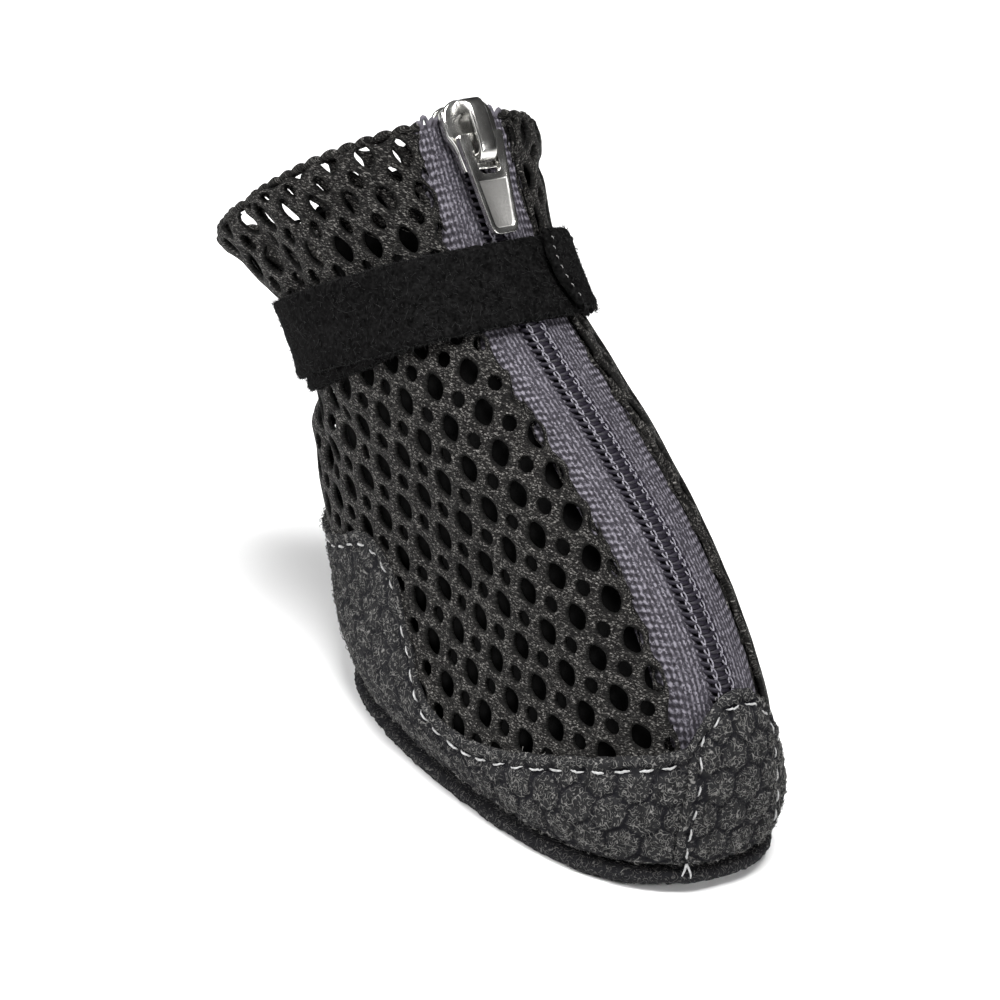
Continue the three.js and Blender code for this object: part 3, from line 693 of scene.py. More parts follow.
def hem_shape(section):
    """The hem's stitch line pulls in, and the turned-in cloth over it stands out a little."""
    pulled = np.exp(-(((section - HEM_SECTION) * 5.3 / 0.9) ** 2))
    puffed = np.clip((section - HEM_SECTION) / 0.7, 0, 1)
    return 0.25 * puffed - 1.2 * pulled


def outer_height(section, angle):
    ripple = lumps(on_last(np.clip(section, 0, TOP), angle), 4.5, 3.0)
    return creased(section, angle) + hem_shape(section) + 0.25 * ripple


def inner_height(section, angle):
    return outer_height(section, angle) - HEM_UNDER


def fold_height(section, angle):
    return outer_height(section, angle) - FOLD_UNDER


for side, word in ((-1, "right"), (1, "left")):
    mesh_panel("mesh_" + word, side, under_rand, rim_at, outer_height, (0.0, 0.0),
               replaces=["upper"] if side < 0 else [])
    mesh_panel("hem_" + word, side, hem_at, rim_at, inner_height, (0.35, 0.1))
    mesh_panel("front_fold_" + word, side, under_rand, rim_at, fold_height, (0.28, 0.6), FOLD_REACH)

# Heel seam: the two panels' back edges are sewn together inside one narrow strip of plain knit,
# which follows the folds on both sides of it.
SEAM_TURN, SEAM_LONG, SEAM_WIDE = 11.0, 60.0, 4.6
INSIDE_SHAFT = (-40, 0, 58)


def face_outwards(bm, inside):
    """Turns every face away from a place inside the boot, in millimetres."""
    bmesh.ops.recalc_face_normals(bm, faces=bm.faces)
    if sum(f.normal.dot(f.calc_center_median() - Vector(inside)) for f in bm.faces) < 0:
        bmesh.ops.reverse_faces(bm, faces=bm.faces)


bm, u, v = grid_sheet(12, 160)
angle = SEAM_TURN * (u - 0.5)
angle = np.where(angle > 0, angle - 180, angle + 180)
section = under_rand(angle) + (rim_at(180) - under_rand(angle)) * v
set_places(bm, on_last(section, angle, outer_height(section, angle) + 0.35 - 0.35 * np.abs(2 * u - 1) ** 3))
face_outwards(bm, INSIDE_SHAFT)
flat = np.stack([u * SEAM_WIDE, v * SEAM_LONG], 1)
make_piece("heel_seam", bm, mesh_yarn, cloth=flat, modifiers=[thick(1.5)])


def tubes(lines, rounding=1):
    """A bmesh of closed round tubes. Each line is its points and their radii, in millimetres."""
    curve = bpy.data.curves.new("tubes", "CURVE")
    curve.dimensions = "3D"
    curve.bevel_depth = 1.0
    curve.bevel_resolution = rounding
    curve.use_fill_caps = True
    for points, radii in lines:
        spline = curve.splines.new("POLY")
        spline.points.add(len(points) - 1)
        spline.points.foreach_set("co", np.c_[points, np.ones(len(points))].ravel())
        spline.points.foreach_set("radius", np.broadcast_to(np.asarray(radii, float), len(points)).copy())
    holder = bpy.data.objects.new("tubes", curve)
    mesh = bpy.data.meshes.new_from_object(holder)
    bm = bmesh.new()
    bm.from_mesh(mesh)
    bpy.data.objects.remove(holder)
    bpy.data.curves.remove(curve)
    bpy.data.meshes.remove(mesh)
    bmesh.ops.recalc_face_normals(bm, faces=bm.faces)
    return bm


# Rim: the fold of the hem, gathered by the knit into a scalloped roll all round the collar.
ROLL_PITCH, ROLL_RADIUS = 2.9, 0.72


def lengths_along(line):
    """Distance along a line from its first point to each of its points."""
    return np.concatenate([[0], np.cumsum(np.linalg.norm(np.diff(line, axis=0), axis=1))])


rim_start = float(angle_across(rim_at(0.0), MESH_FRONT)[0])
rim_angles = np.linspace(rim_start, 360 - rim_start, 700)
turned = (rim_angles + 180) % 360 - 180
rim_sections = rim_at(turned)
rim_line = on_last(rim_sections, turned, outer_height(rim_sections, turned) - 0.75)
run = lengths_along(rim_line)
swell = np.abs(np.sin(math.pi * run / ROLL_PITCH)) ** 0.6
rim_line[:, 2] += 0.55 * (swell - 0.5)
bm = tubes([(rim_line, ROLL_RADIUS * (0.62 + 0.5 * swell))], 3)
spots = np.array([w.co for w in bm.verts])
nearest = np.abs(spots[:, None, :] - rim_line[None, ::4, :]).sum(2).argmin(1) * 4
flat = np.stack([run[nearest], 1.6 * spots[:, 2] + spots[:, 0]], 1)
make_piece("collar_rim", bm, mesh_yarn, cloth=flat)

# Hem seam: black thread that draws the turned-in cloth down into the groove under the rim.
# Its near-black colour is also painted shade: it stands for the dark line of the groove.
hem_thread_and_groove_shade = two_toned("near-black hem thread, painted groove shade", 2400.0, 1.0, "#030303", "#171717", 0.8, 0.1)

HEM_STITCH = 2.6
seam_angles = np.linspace(rim_start + 1, 359 - rim_start, 900)
turned = (seam_angles + 180) % 360 - 180
sections = np.full(len(turned), HEM_SECTION)
line = on_last(sections, turned, outer_height(sections, turned))
run = lengths_along(line)
dip = np.abs(np.sin(math.pi * run / HEM_STITCH))
line = on_last(sections, turned, outer_height(sections, turned) + 0.5 * dip - 0.15)
make_piece("hem_seam", tubes([(line, 0.2 + 0.16 * dip)]), hem_thread_and_groove_shade)

# Zip: two woven polyester tapes, grey-purple with a light weft dot, sewn under the mesh on both
# sides, and closed nylon coils between them held down by two rows of light chain stitch.
ZIP_LOW = 2.2
TAPE_EDGE, COIL_EDGE = 9.0, 2.35
tape_weave, tree, shader = new_material("woven zip tape")
cloth = add_node(tree, "UVMap", uv_map="cloth").outputs[0]
parts = add_node(tree, "SeparateXYZ", {"Vector": cloth})
WARP_PITCH, WEFT_PITCH = 0.72, 1.3
warp = add_node(tree, "Math", {0: parts.outputs[0]}, {1: 2 * math.pi / WARP_PITCH}, operation="MULTIPLY")
warp_wave = add_node(tree, "Math", {0: warp.outputs[0]}, operation="COSINE")
half_turns = add_node(tree, "Math", {0: parts.outputs[0]}, {1: math.pi / WARP_PITCH}, operation="MULTIPLY")
sway = add_node(tree, "Math", {0: half_turns.outputs[0]}, operation="SINE")
weft_phase = add_node(tree, "Math", {0: parts.outputs[1]}, {1: 2 * math.pi / WEFT_PITCH}, operation="MULTIPLY")
weft_shift = add_node(tree, "Math", {0: sway.outputs[0], 2: weft_phase.outputs[0]}, {1: 0.35},
                      operation="MULTIPLY_ADD")
weft_wave = add_node(tree, "Math", {0: weft_shift.outputs[0]}, operation="COSINE")
# The weft shows as light bars near the outer edge and is lost in the fine weave inside it.
outer = add_node(tree, "MapRange", {"Value": parts.outputs[0]}, {
    "From Min": 5.2, "From Max": 7.0, "To Min": 0.03, "To Max": 0.30})
bars = add_node(tree, "Math", {0: weft_wave.outputs[0], 1: outer.outputs[0]}, operation="MULTIPLY")
slender = add_node(tree, "Mapping", {"Vector": cloth}, {"Scale": (4.6, 3.0, 1), "Rotation": (0, 0, 0.5)})
yarns = add_node(tree, "TexVoronoi", {"Vector": slender.outputs[0]}, {"Scale": 1.0, "Randomness": 0.9},
                 feature="F1")
yarn_tone = add_node(tree, "SeparateColor", {"Color": yarns.outputs["Color"]})
even_tone = add_node(tree, "MapRange", {"Value": yarn_tone.outputs[0]}, {"To Min": 0.24, "To Max": 0.84})
ribbed = add_node(tree, "Math", {0: warp_wave.outputs[0], 2: even_tone.outputs[0]}, {1: 0.2},
                  operation="MULTIPLY_ADD")
relief = add_node(tree, "Math", {0: ribbed.outputs[0], 1: bars.outputs[0]}, operation="ADD")
colours = add_node(tree, "ValToRGB", {"Fac": relief.outputs[0]},
                   stops=((0.0, "#1b191d"), (1.0, "#726f77"), (0.55, "#312f35")))
finish_surface(tree, shader, colours.outputs[0], 0.75, 0.12, relief.outputs[0], (0.7, 0.0002))

front_steps = np.linspace(0, TOP, 521)
front_line = on_last(front_steps, 0.0)
front_lengths = lengths_along(front_line)


def up_front(length):
    """Section at a distance up the front line from the feather edge."""
    return np.interp(length, front_lengths, front_steps)


def front_length(section):
    """The distance up the front line at which a section lies."""
    return float(np.interp(section, front_steps, front_lengths))


def on_front(length, across, height):
    """A point over the front line: so far up it, across it and above it, in millimetres."""
    section = up_front(length)
    place = on_last(section, angle_across(section, across, height), height)
    place[..., 1] = across
    over = np.asarray(length - front_lengths[-1])
    way = (front_line[-1] - front_line[-30]) / np.linalg.norm(front_line[-1] - front_line[-30])
    return place + np.clip(over, 0, None)[..., None] * way


ZIP_START, ZIP_END = front_length(ZIP_LOW), front_length(TOP) - 1.9
INSIDE_FRONT = (-30, 0, 30)
for side, word in ((-1, "right"), (1, "left")):
    bm, u, v = grid_sheet(22, 220)
    length = ZIP_START + (ZIP_END - ZIP_START) * v
    across = side * (COIL_EDGE - 0.5 + (TAPE_EDGE - COIL_EDGE + 0.5) * (u if side > 0 else 1 - u))
    flat = np.stack([np.abs(across), length], 1)
    belly = 0.12 * lumps(np.c_[flat, np.zeros(len(flat))], 8.0, 2.0 + side)
    folds = 0.25 * creased(up_front(length), np.full(len(length), 8.0 * side))
    set_places(bm, on_front(length, across, -0.55 + belly + folds))
    face_outwards(bm, INSIDE_FRONT)
    make_piece("zip_tape_cloth_" + word, bm, tape_weave, replaces=["zip_tape_" + word], cloth=flat,
               modifiers=[thick(0.55)])

# The tape's cut top is fluffed into small loops of its own yarn.
loop_yarn = two_toned("fluffed tape yarn", 1500.0, 2.0, "#0a090c", "#67636d", 0.8, bump=(0.8, 0.0001))


lines = []
for side in (-1, 1):
    for across in np.linspace(3.0, 7.4, 5):
        tall = 1.0 + 1.3 * rng.random()
        spread = 0.36 + 0.16 * rng.random()
        lean = 0.8 * (rng.random() - 0.5)
        sweep = np.linspace(0, math.pi, 9)
        spot = side * (across + 0.3 * (rng.random() - 0.5))
        across_here = spot + spread * np.cos(sweep) + lean * np.sin(sweep)
        line = on_front(ZIP_END - 0.5 + tall * np.sin(sweep), across_here, -0.8 + 0.5 * np.sin(sweep))
        line[:, 0] += 0.9 * (rng.random() - 0.4) * np.sin(sweep)
        lines.append((line, 0.3 + 0.08 * rng.random()))
make_piece("tape_fringe", tubes(lines), loop_yarn)

# Coils: each turn is a short bar of nylon across the zip, left and right turns in turn.
nylon = two_toned("dark purple nylon coil", 1500.0, 1.0, "#0a090d", "#1f1b26", 0.5, 0.2)

COIL_PITCH = 1.3
SLIDER_SECTION = 12.1
CAP_TOP_LENGTH = front_length(2.80)
COIL_TOP_LENGTH = front_length(SLIDER_SECTION) + 1.0
lines = []
for length in np.arange(CAP_TOP_LENGTH, COIL_TOP_LENGTH, COIL_PITCH):
    for side in (-1, 1):
        start = length + (0.5 * COIL_PITCH if side > 0 else 0)
        across = np.array((-0.75, -0.3, 0.5, 1.5, 2.05, 2.15)) * side
        rise = np.array((-0.35, 0.05, 0.15, 0.1, -0.2, -0.75))
        slant = np.array((0.0, 0.0, 0.08, 0.3, 0.42, 0.45)) * COIL_PITCH
        lines.append((on_front(start + slant, across, rise), (0.36, 0.42, 0.42, 0.4, 0.36, 0.3)))
make_piece("zip_coils", tubes(lines), nylon, replaces=["zip_chain"])

# A dark cord and the tape's selvedge fill the bed under the turns.
bm, u, v = grid_sheet(8, 160)
length = CAP_TOP_LENGTH - 3 + (COIL_TOP_LENGTH - CAP_TOP_LENGTH + 3) * v
set_places(bm, on_front(length, (u - 0.5) * 4.9, -0.75))
face_outwards(bm, INSIDE_FRONT)
make_piece("zip_bed", bm, nylon, modifiers=[thick(0.3)])

chain_thread = two_toned("light grey chain stitch", 3000.0, 1.0, "#3c3a41", "#85828b", 0.7)

STITCH_LINK = 1.75
lines = []
for side in (-1, 1):
    for start in np.arange(CAP_TOP_LENGTH, COIL_TOP_LENGTH - 1, STITCH_LINK):
        for strand in (-1, 1):
            t = np.linspace(0, 1, 6)
            bulge = np.sin(math.pi * np.clip(t * 1.15, 0, 1)) * 0.3 * strand
            line = on_front(start + STITCH_LINK * 1.12 * t, side * 1.22 + bulge, 0.5 - 0.22 * t + 0.06 * strand)
            lines.append((line, 0.13))
make_piece("coil_stitches", tubes(lines), chain_thread)

# Slider: die-cast zinc, nickel plated and tumbled, at the top of the zip with its pull tab down.
nickel, tree, shader = new_material("tumbled nickel plate")
coords = add_node(tree, "TexCoord").outputs["Object"]
sand = add_node(tree, "Attribute", attribute_name="sand").outputs["Fac"]
haze = add_node(tree, "TexNoise", {"Vector": coords}, {"Scale": 420.0, "Detail": 3.0})
grit = add_node(tree, "TexNoise", {"Vector": coords}, {"Scale": 3200.0, "Detail": 2.0})
plate_mix = add_node(tree, "Mix", {"Factor": haze.outputs["Fac"]},
                     {6: linear("#b5b4b1"), 7: linear("#dcdbd8")}, data_type="RGBA")
sand_mix = add_node(tree, "Mix", {"Factor": sand, 6: plate_mix.outputs[2]}, {7: linear("#7d7c7a")},
                    data_type="RGBA")
tree.links.new(sand_mix.outputs[2], shader.inputs["Base Color"])
rough = add_node(tree, "MapRange", {"Value": haze.outputs["Fac"]}, {"To Min": 0.14, "To Max": 0.30})
rough_sand = add_node(tree, "Mix", {"Factor": sand, 2: rough.outputs[0]}, {3: 0.72}, data_type="FLOAT")
tree.links.new(rough_sand.outputs[0], shader.inputs["Roughness"])
grit_deep = add_node(tree, "MapRange", {"Value": sand}, {"To Min": 0.08, "To Max": 1.0})
bump = add_node(tree, "Bump", {"Height": grit.outputs["Fac"], "Strength": grit_deep.outputs[0]},
                {"Distance": 0.00012})
tree.links.new(bump.outputs[0], shader.inputs["Normal"])
shader.inputs["Metallic"].default_value = 1.0

slider_origin = on_last(SLIDER_SECTION, 0.0)
zip_way = on_last(11.1, 0.0) - on_last(13.0, 0.0)
SLIDER_LEAN = math.atan2(-zip_way[2], zip_way[0])
TAB_LEAN = SLIDER_LEAN + math.radians(2.5)
PIVOT_ALONG, PIVOT_HEIGHT = 1.2, 2.75


def stand_on_zip(bm, lean, origin):
    """Turns a part drawn flat (x down the zip, y across, z out of it) into its place."""
    bmesh.ops.rotate(bm, cent=(0, 0, 0), matrix=Matrix.Rotation(lean, 3, "Y"), verts=bm.verts)
    bmesh.ops.translate(bm, vec=Vector([float(c) for c in origin]), verts=bm.verts)


def curved(points, count=6):
    """A closed outline: each point is (x, y), or (x, y, x', y') for a curve with that handle."""
    outline = []
    for point in points:
        if len(point) == 4 and outline:
            start = np.array(outline[-1])
            handle, end = np.array(point[2:]), np.array(point[:2])
            for t in np.linspace(0, 1, count + 1)[1:]:
                outline.append(tuple((1 - t) ** 2 * start + 2 * t * (1 - t) * handle + t**2 * end))
        else:
            outline.append(tuple(point[:2]))
    return outline


def plate(bm, outline, low, high, bevel, segments=3):
    """Adds a flat plate with rounded edges, extruded from an outline."""
    ring = bmesh.ops.create_circle(bm, cap_ends=True, segments=len(outline), radius=1)["verts"]
    for w, (x, y) in zip(ring, outline):
        w.co = (x, y, low)
    face = next(f for f in ring[0].link_faces if len(f.verts) == len(outline))
    lifted = verts_of(bmesh.ops.extrude_face_region(bm, geom=[face])["geom"])
    bmesh.ops.translate(bm, vec=(0, 0, high - low), verts=lifted)
    body = set(ring) | set(lifted)
    bmesh.ops.recalc_face_normals(bm, faces=list({f for w in body for f in w.link_faces}))
    rims = {e for w in body for e in w.link_edges
            if e.other_vert(w) in body and abs(e.verts[0].co.z - e.verts[1].co.z) < 1e-6}
    if bevel:
        bmesh.ops.bevel(bm, geom=list(rims), offset=bevel, segments=segments, profile=0.5, affect="EDGES",
                        material=-1, clamp_overlap=True)


half_outline = [(-5.2, -1.8), (-1.8, -4.6, -4.6, -4.6), (0.2, -4.6), (3.0, -3.5, 1.6, -3.6), (6.0, -3.3)]
mirror_outline = [(6.0, 3.3), (3.0, 3.5), (0.2, 4.6, 1.6, 3.6), (-1.8, 4.6), (-5.2, 1.8, -4.6, 4.6)]
slider_outline = curved(half_outline) + curved(mirror_outline)
flange = [(-4.2, 3.6), (-1.8, 3.75), (0.2, 3.75), (2.4, 2.85), (6.0, 2.65), (6.0, 3.3), (3.0, 3.5),
          (1.6, 3.85), (0.2, 4.6), (-1.8, 4.6), (-3.6, 4.35)]
bm = bmesh.new()
plate(bm, slider_outline, 0.9, 1.65, 0.3)
plate(bm, slider_outline, -2.4, -1.65, 0.3)
for side in (-1, 1):
    plate(bm, [(x, y * side) for x, y in flange[:: side]], 0.1, 1.2, 0.12, 2)
plate(bm, [(-4.6, -1.1), (-2.7, -1.1), (-2.7, 1.1), (-4.6, 1.1)], -1.8, 1.1, 0)

# The bridge over the plate, with the eye that the pull tab's bar turns in.
arch = curved([
    (-5.1, 1.3), (-4.8, 3.2), (-1.5, 4.75, -4.4, 4.75), (2.2, 4.75), (5.2, 2.9, 4.7, 4.6), (5.4, 1.3),
    (3.7, 1.4), (3.7, 3.1), (2.6, 3.75, 3.6, 3.75), (-1.6, 3.75), (-2.6, 3.0, -2.6, 3.75), (-2.7, 1.4)])
bridge = bmesh.new()
plate(bridge, arch, -1.5, 1.5, 0.35)
bmesh.ops.rotate(bridge, cent=(0, 0, 0), matrix=Matrix.Rotation(math.pi / 2, 3, "X"), verts=bridge.verts)
bridge_mesh = bpy.data.meshes.new("bridge")
bridge.to_mesh(bridge_mesh)
bridge.free()
bm.from_mesh(bridge_mesh)
bpy.data.meshes.remove(bridge_mesh)
bmesh.ops.recalc_face_normals(bm, faces=bm.faces)
stand_on_zip(bm, SLIDER_LEAN, slider_origin)
make_piece("slider_body", bm, nickel, replaces=["slider"])

# Pull tab: a tapering plate with a window at its bar and a sand-textured panel below it.
TAB_LONG, TAB_DEPTH, PANEL_SINK = 15.2, 1.1, 0.28
bm = bmesh.new()
tab_outline = curved([
    (-0.6, -3.4), (0.2, -4.0, -0.6, -4.0), (TAB_LONG - 1.5, -2.5), (TAB_LONG, -1.2, TAB_LONG, -2.3),
    (TAB_LONG, 1.2), (TAB_LONG - 1.5, 2.5, TAB_LONG, 2.3), (0.2, 4.0), (-0.6, 3.4, -0.6, 4.0)], 4)
window = curved([
    (0.6, -2.1), (4.7, -2.0), (5.9, -0.7, 5.9, -1.9), (5.9, 0.7), (4.7, 2.0, 5.9, 1.9), (0.6, 2.1)], 4)
panel = curved([
    (6.8, -2.6), (13.3, -1.85), (14.3, -1.0, 14.3, -1.75),
    (14.3, 1.0), (13.3, 1.85, 14.3, 1.75), (6.8, 2.6)], 4)
outer = bmesh.ops.create_circle(bm, cap_ends=False, segments=len(tab_outline), radius=1)["verts"]
inner_ring = bmesh.ops.create_circle(bm, cap_ends=False, segments=len(window), radius=1)["verts"]
panel_ring = bmesh.ops.create_circle(bm, cap_ends=False, segments=len(panel), radius=1)["verts"]
for ring, outline in ((outer, tab_outline), (inner_ring, window), (panel_ring, panel)):
    for w, (x, y) in zip(ring, outline):
        w.co = (x, y, TAB_DEPTH / 2)
bmesh.ops.triangle_fill(bm, edges=bm.edges[:], use_beauty=True, use_dissolve=False, normal=(0, 0, 1))
window_faces = [f for f in bm.faces if all(w in inner_ring for w in f.verts)]
bmesh.ops.delete(bm, geom=window_faces, context="FACES_ONLY")
if not any(all(w in panel_ring for w in f.verts) for f in bm.faces):
    bmesh.ops.contextual_create(bm, geom=panel_ring)
bmesh.ops.recalc_face_normals(bm, faces=bm.faces)
if sum(f.normal.z for f in bm.faces) < 0:
    bmesh.ops.reverse_faces(bm, faces=bm.faces)
bottom = bmesh.ops.duplicate(bm, geom=bm.verts[:] + bm.edges[:] + bm.faces[:])["geom"]
bmesh.ops.translate(bm, vec=(0, 0, -TAB_DEPTH), verts=verts_of(bottom))
bmesh.ops.reverse_faces(bm, faces=[g for g in bottom if isinstance(g, bmesh.types.BMFace)])
rim_edges = [e for e in bm.edges if e.is_boundary]
window_edges = [e for e in rim_edges if 0.5 < e.verts[0].co.x < 6.0 and abs(e.verts[0].co.y) < 2.15]
bmesh.ops.bridge_loops(bm, edges=[e for e in rim_edges if e not in window_edges])
bmesh.ops.bridge_loops(bm, edges=window_edges)
bmesh.ops.recalc_face_normals(bm, faces=bm.faces)
sharp = [e for e in bm.edges if len(e.link_faces) == 2 and e.calc_face_angle() > 0.9]
bmesh.ops.bevel(bm, geom=sharp, offset=0.25, segments=3, profile=0.5, affect="EDGES", material=-1,
                clamp_overlap=True)
sand_layer = bm.verts.layers.float.new("sand")
top_panel = [f for f in bm.faces if f.normal.z > 0.99 and f.calc_center_median().x > 6.8
             and all(any((w.co.xy - Vector(p)).length < 0.02 for p in panel) for w in f.verts)]
bmesh.ops.inset_region(bm, faces=top_panel, thickness=0.25, depth=-PANEL_SINK)
for f in top_panel:
    for w in f.verts:
        w[sand_layer] = 1.0
bmesh.ops.recalc_face_normals(bm, faces=bm.faces)
pivot = Matrix.Rotation(SLIDER_LEAN, 3, "Y") @ Vector((PIVOT_ALONG, 0, PIVOT_HEIGHT))
stand_on_zip(bm, TAB_LEAN, pivot + Vector([float(c) for c in slider_origin]))
make_piece("pull_tab_plate", bm, nickel, body="pull_tab", replaces=["pull_tab"])

# Side rand: one band of the suede round both sides and the heel, where it rises into a rounded
# counter. Its raw top edge is stitched down two millimetres in.
BAND_SECTIONS = np.linspace(0, 4, 81)
BAND_ANGLES = np.linspace(0, 180, 181)
BAND_HEIGHT = 1.7
band_points = on_last(BAND_SECTIONS[:, None], BAND_ANGLES[None, :], BAND_HEIGHT)
band_steps = np.linalg.norm(np.diff(band_points, axis=0), axis=2)
band_up = np.concatenate([np.zeros((1, 181)), np.cumsum(band_steps, 0)])
band_round = lengths_along(on_last(1.3, BAND_ANGLES, BAND_HEIGHT))


def band_flat(section, angle):
    """Flat place on the suede band: distance round from the toe's middle, and up the last."""
    turned = (np.asarray(angle) + 180) % 360 - 180
    round_here = np.interp(np.abs(turned), BAND_ANGLES, band_round)
    past_heel = 2 * band_round[-1] - round_here
    round_here = np.where(np.asarray(angle) > 180, past_heel, np.sign(turned) * round_here)
    k = np.clip(np.asarray(section) / 4 * 80, 0, 79.999)
    a = np.clip(np.abs(turned), 0, 179.999)
    k0, a0 = k.astype(int), a.astype(int)
    kf, af = k - k0, a - a0
    up = ((band_up[k0, a0] * (1 - af) + band_up[k0, a0 + 1] * af) * (1 - kf)
          + (band_up[k0 + 1, a0] * (1 - af) + band_up[k0 + 1, a0 + 1] * af) * kf)
    return np.stack([round_here, up], 1)


def rand_top(angle):
    """Section of the rand's top edge at an angle from 0 to 360."""
    turned = np.where(np.asarray(angle) > 180, 360 - np.asarray(angle), angle)
    offsets = np.linspace(-3.0, 3.0, 7)
    return np.mean([np.interp(np.abs(turned + o), RAND_TOP[:, 0], RAND_TOP[:, 1]) for o in offsets], axis=0)


SUEDE_HEIGHT, SUEDE_LOW = 1.75, 0.03
STITCH_INSET = 2.1
GROOVE_DEEP, FURROW_DEEP, EDGE_ROLL, SEAM_ROLL = 0.36, 0.45, 0.9, 0.75
INSIDE_FOOT = (-8, 0, 20)


def suede_sheet(name, columns, rows, angles_at, top_at, raise_by, replaces, has_sides, seed):
    """A suede piece on the last, from the sole's seam up to its own top edge. One that has sides is
    rounded and stitched along them too."""
    bm, u, v = grid_sheet(columns, rows)
    angle = angles_at(u)
    top = top_at(angle, u)
    section = SUEDE_LOW + (top - SUEDE_LOW) * v
    flat = band_flat(np.clip(section, 0, 4), angle)
    places = on_last(section, angle, SUEDE_HEIGHT)
    from_top = np.linalg.norm(places - on_last(top, angle, SUEDE_HEIGHT), axis=1)
    from_low = np.linalg.norm(places - on_last(SUEDE_LOW, angle, SUEDE_HEIGHT), axis=1)
    girth = float(np.abs(flat[:, 0].max() - flat[:, 0].min()))
    from_side = np.minimum(u, 1 - u) * girth if has_sides else np.full(len(u), 99.0)
    frayed = 0.6 * lumps(np.c_[flat, np.full(len(flat), 3.0)], 1.2, seed)
    edge = np.minimum(from_top, from_side)
    pads = pad_height(flat + (1.3, 1.0), seed)
    pads = 1 - (1 - pads) * smooth_step((edge - 0.8) / 0.8) * 0.95
    stitched = np.exp(-(((from_top - STITCH_INSET) / 0.55) ** 2))
    if has_sides:
        along_sides = np.exp(-(((from_side - STITCH_INSET) / 0.55) ** 2)) * (from_top > STITCH_INSET - 0.6)
        stitched = np.maximum(stitched, along_sides)
    height = SUEDE_HEIGHT + raise_by - GROOVE_DEEP * (1 - pads) - FURROW_DEEP * stitched
    height -= EDGE_ROLL * (1 - np.sqrt(1 - np.clip(1 - edge / EDGE_ROLL, 0, 1) ** 2))
    height -= SEAM_ROLL * np.clip(1 - from_low / 1.1, 0, 1) ** 2
    height += (0.3 * lumps(places, 7.0, seed) + 0.15 * lumps(places, 1.3, seed + 4)
               + 0.1 * lumps(places, 0.7, seed + 8))
    height += 0.4 * frayed * (edge < 0.9)
    places = on_last(section, angle, height)
    places[:, 2] += 0.30 * frayed * np.clip(1 - from_top / 0.8, 0, 1)
    set_places(bm, places)
    face_outwards(bm, INSIDE_FOOT)
    return make_piece(name, bm, suede, replaces=replaces, cloth=flat,
                      values={"pad": pads * (1 - 0.6 * stitched)}, modifiers=[thick(1.1)])


CAP_FROM, CAP_TO = -18.0, 22.0


def rand_angles(u):
    return CAP_TO + 0.6 + (360 + CAP_FROM - CAP_TO - 1.2) * u


rand = suede_sheet("rand_suede", 460, 52, rand_angles, lambda angle, u: rand_top(angle), 0.0, ["side_rand"],
                   False, 1.0)

# Toe cap: a rounded tab of the same suede that laps over the rand's ends and the zip's lower end.
CAP_TOP = np.array([(0, 2.94), (0.3, 2.90), (0.65, 2.70), (0.88, 2.48), (1, 2.34)])


def cap_angles_at(u):
    return CAP_FROM - 0.9 + (CAP_TO - CAP_FROM + 1.8) * u


def cap_top(angle, u):
    return np.interp(np.abs(2 * u - 1), CAP_TOP[:, 0], CAP_TOP[:, 1])


toe_cap = suede_sheet("toe_cap_suede", 76, 92, cap_angles_at, cap_top, 0.42, ["toe_cap"], True, 9.0)

# Worn fibres: the light curls of the suede's nap that stand off the pads and off every raw edge.
FIBRE_LONG, FIBRE_THICK = 1.3, 0.05
worn_fibre, tree, shader = new_material("worn suede fibre")
coords = add_node(tree, "TexCoord").outputs["Object"]
patchy = add_node(tree, "TexNoise", {"Vector": coords}, {"Scale": 900.0, "Detail": 1.0})
fibre_mix = add_node(tree, "ValToRGB", {"Fac": patchy.outputs["Fac"]},
                     stops=((0.35, "#1a1a1b"), (0.75, "#82817e")))
finish_surface(tree, shader, fibre_mix.outputs[0], 0.9, 0.1)


def grow_fibres(name, piece, count, stand):
    """Curled fibres on a suede piece, more on its pads; stand is how far they rise, in mm."""
    mesh = piece.data
    places = np.empty(len(mesh.vertices) * 3, np.float32)
    normals = np.empty_like(places)
    pads = np.empty(len(mesh.vertices), np.float32)
    mesh.vertices.foreach_get("co", places)
    mesh.vertices.foreach_get("normal", normals)
    mesh.attributes["pad"].data.foreach_get("value", pads)
    places, normals = places.reshape(-1, 3) / MM, normals.reshape(-1, 3)
    roots = rng.choice(len(places), count, p=(pads**3 + 0.06) / (pads**3 + 0.06).sum())
    steps = np.linspace(0, 1, 6)
    lines = []
    for root in roots:
        up = normals[root]
        one = np.cross(up, rng.normal(size=3))
        one /= np.linalg.norm(one)
        other = np.cross(up, one)
        bend = rng.uniform(1.0, 4.5) * rng.choice((-1, 1))
        length = FIBRE_LONG * rng.uniform(0.5, 1.2)
        heading = bend * steps
        along = np.cumsum(np.cos(heading)) * length / 6
        aside = np.cumsum(np.sin(heading)) * length / 6
        arch = stand * rng.uniform(0.3, 1.0) * np.sin(math.pi * steps) - 0.03
        line = places[root] + along[:, None] * one + aside[:, None] * other + arch[:, None] * up
        line[:, 2] = np.maximum(line[:, 2], FIBRE_THICK)
        lines.append((line, FIBRE_THICK * (1.0 - 0.6 * steps)))
    return make_piece(name, tubes(lines, 0), worn_fibre)


grow_fibres("rand_fibres", rand, 2900, 0.30)
grow_fibres("toe_cap_fibres", toe_cap, 650, 0.30)
grow_fibres("sole_fibres", sole, 1500, 0.16)

# Lockstitch: light grey thread along the rand's and the cap's edges, each stitch sunk at its ends.
STITCH_PITCH, STITCH_LONG, THREAD = 3.6, 2.6, 0.2
lock_thread = two_toned("light grey sewing thread", 2200.0, 2.0,
                        "#5a5a5a", "#c2c2c2", 0.75, 0.2, (0.6, 0.0001))


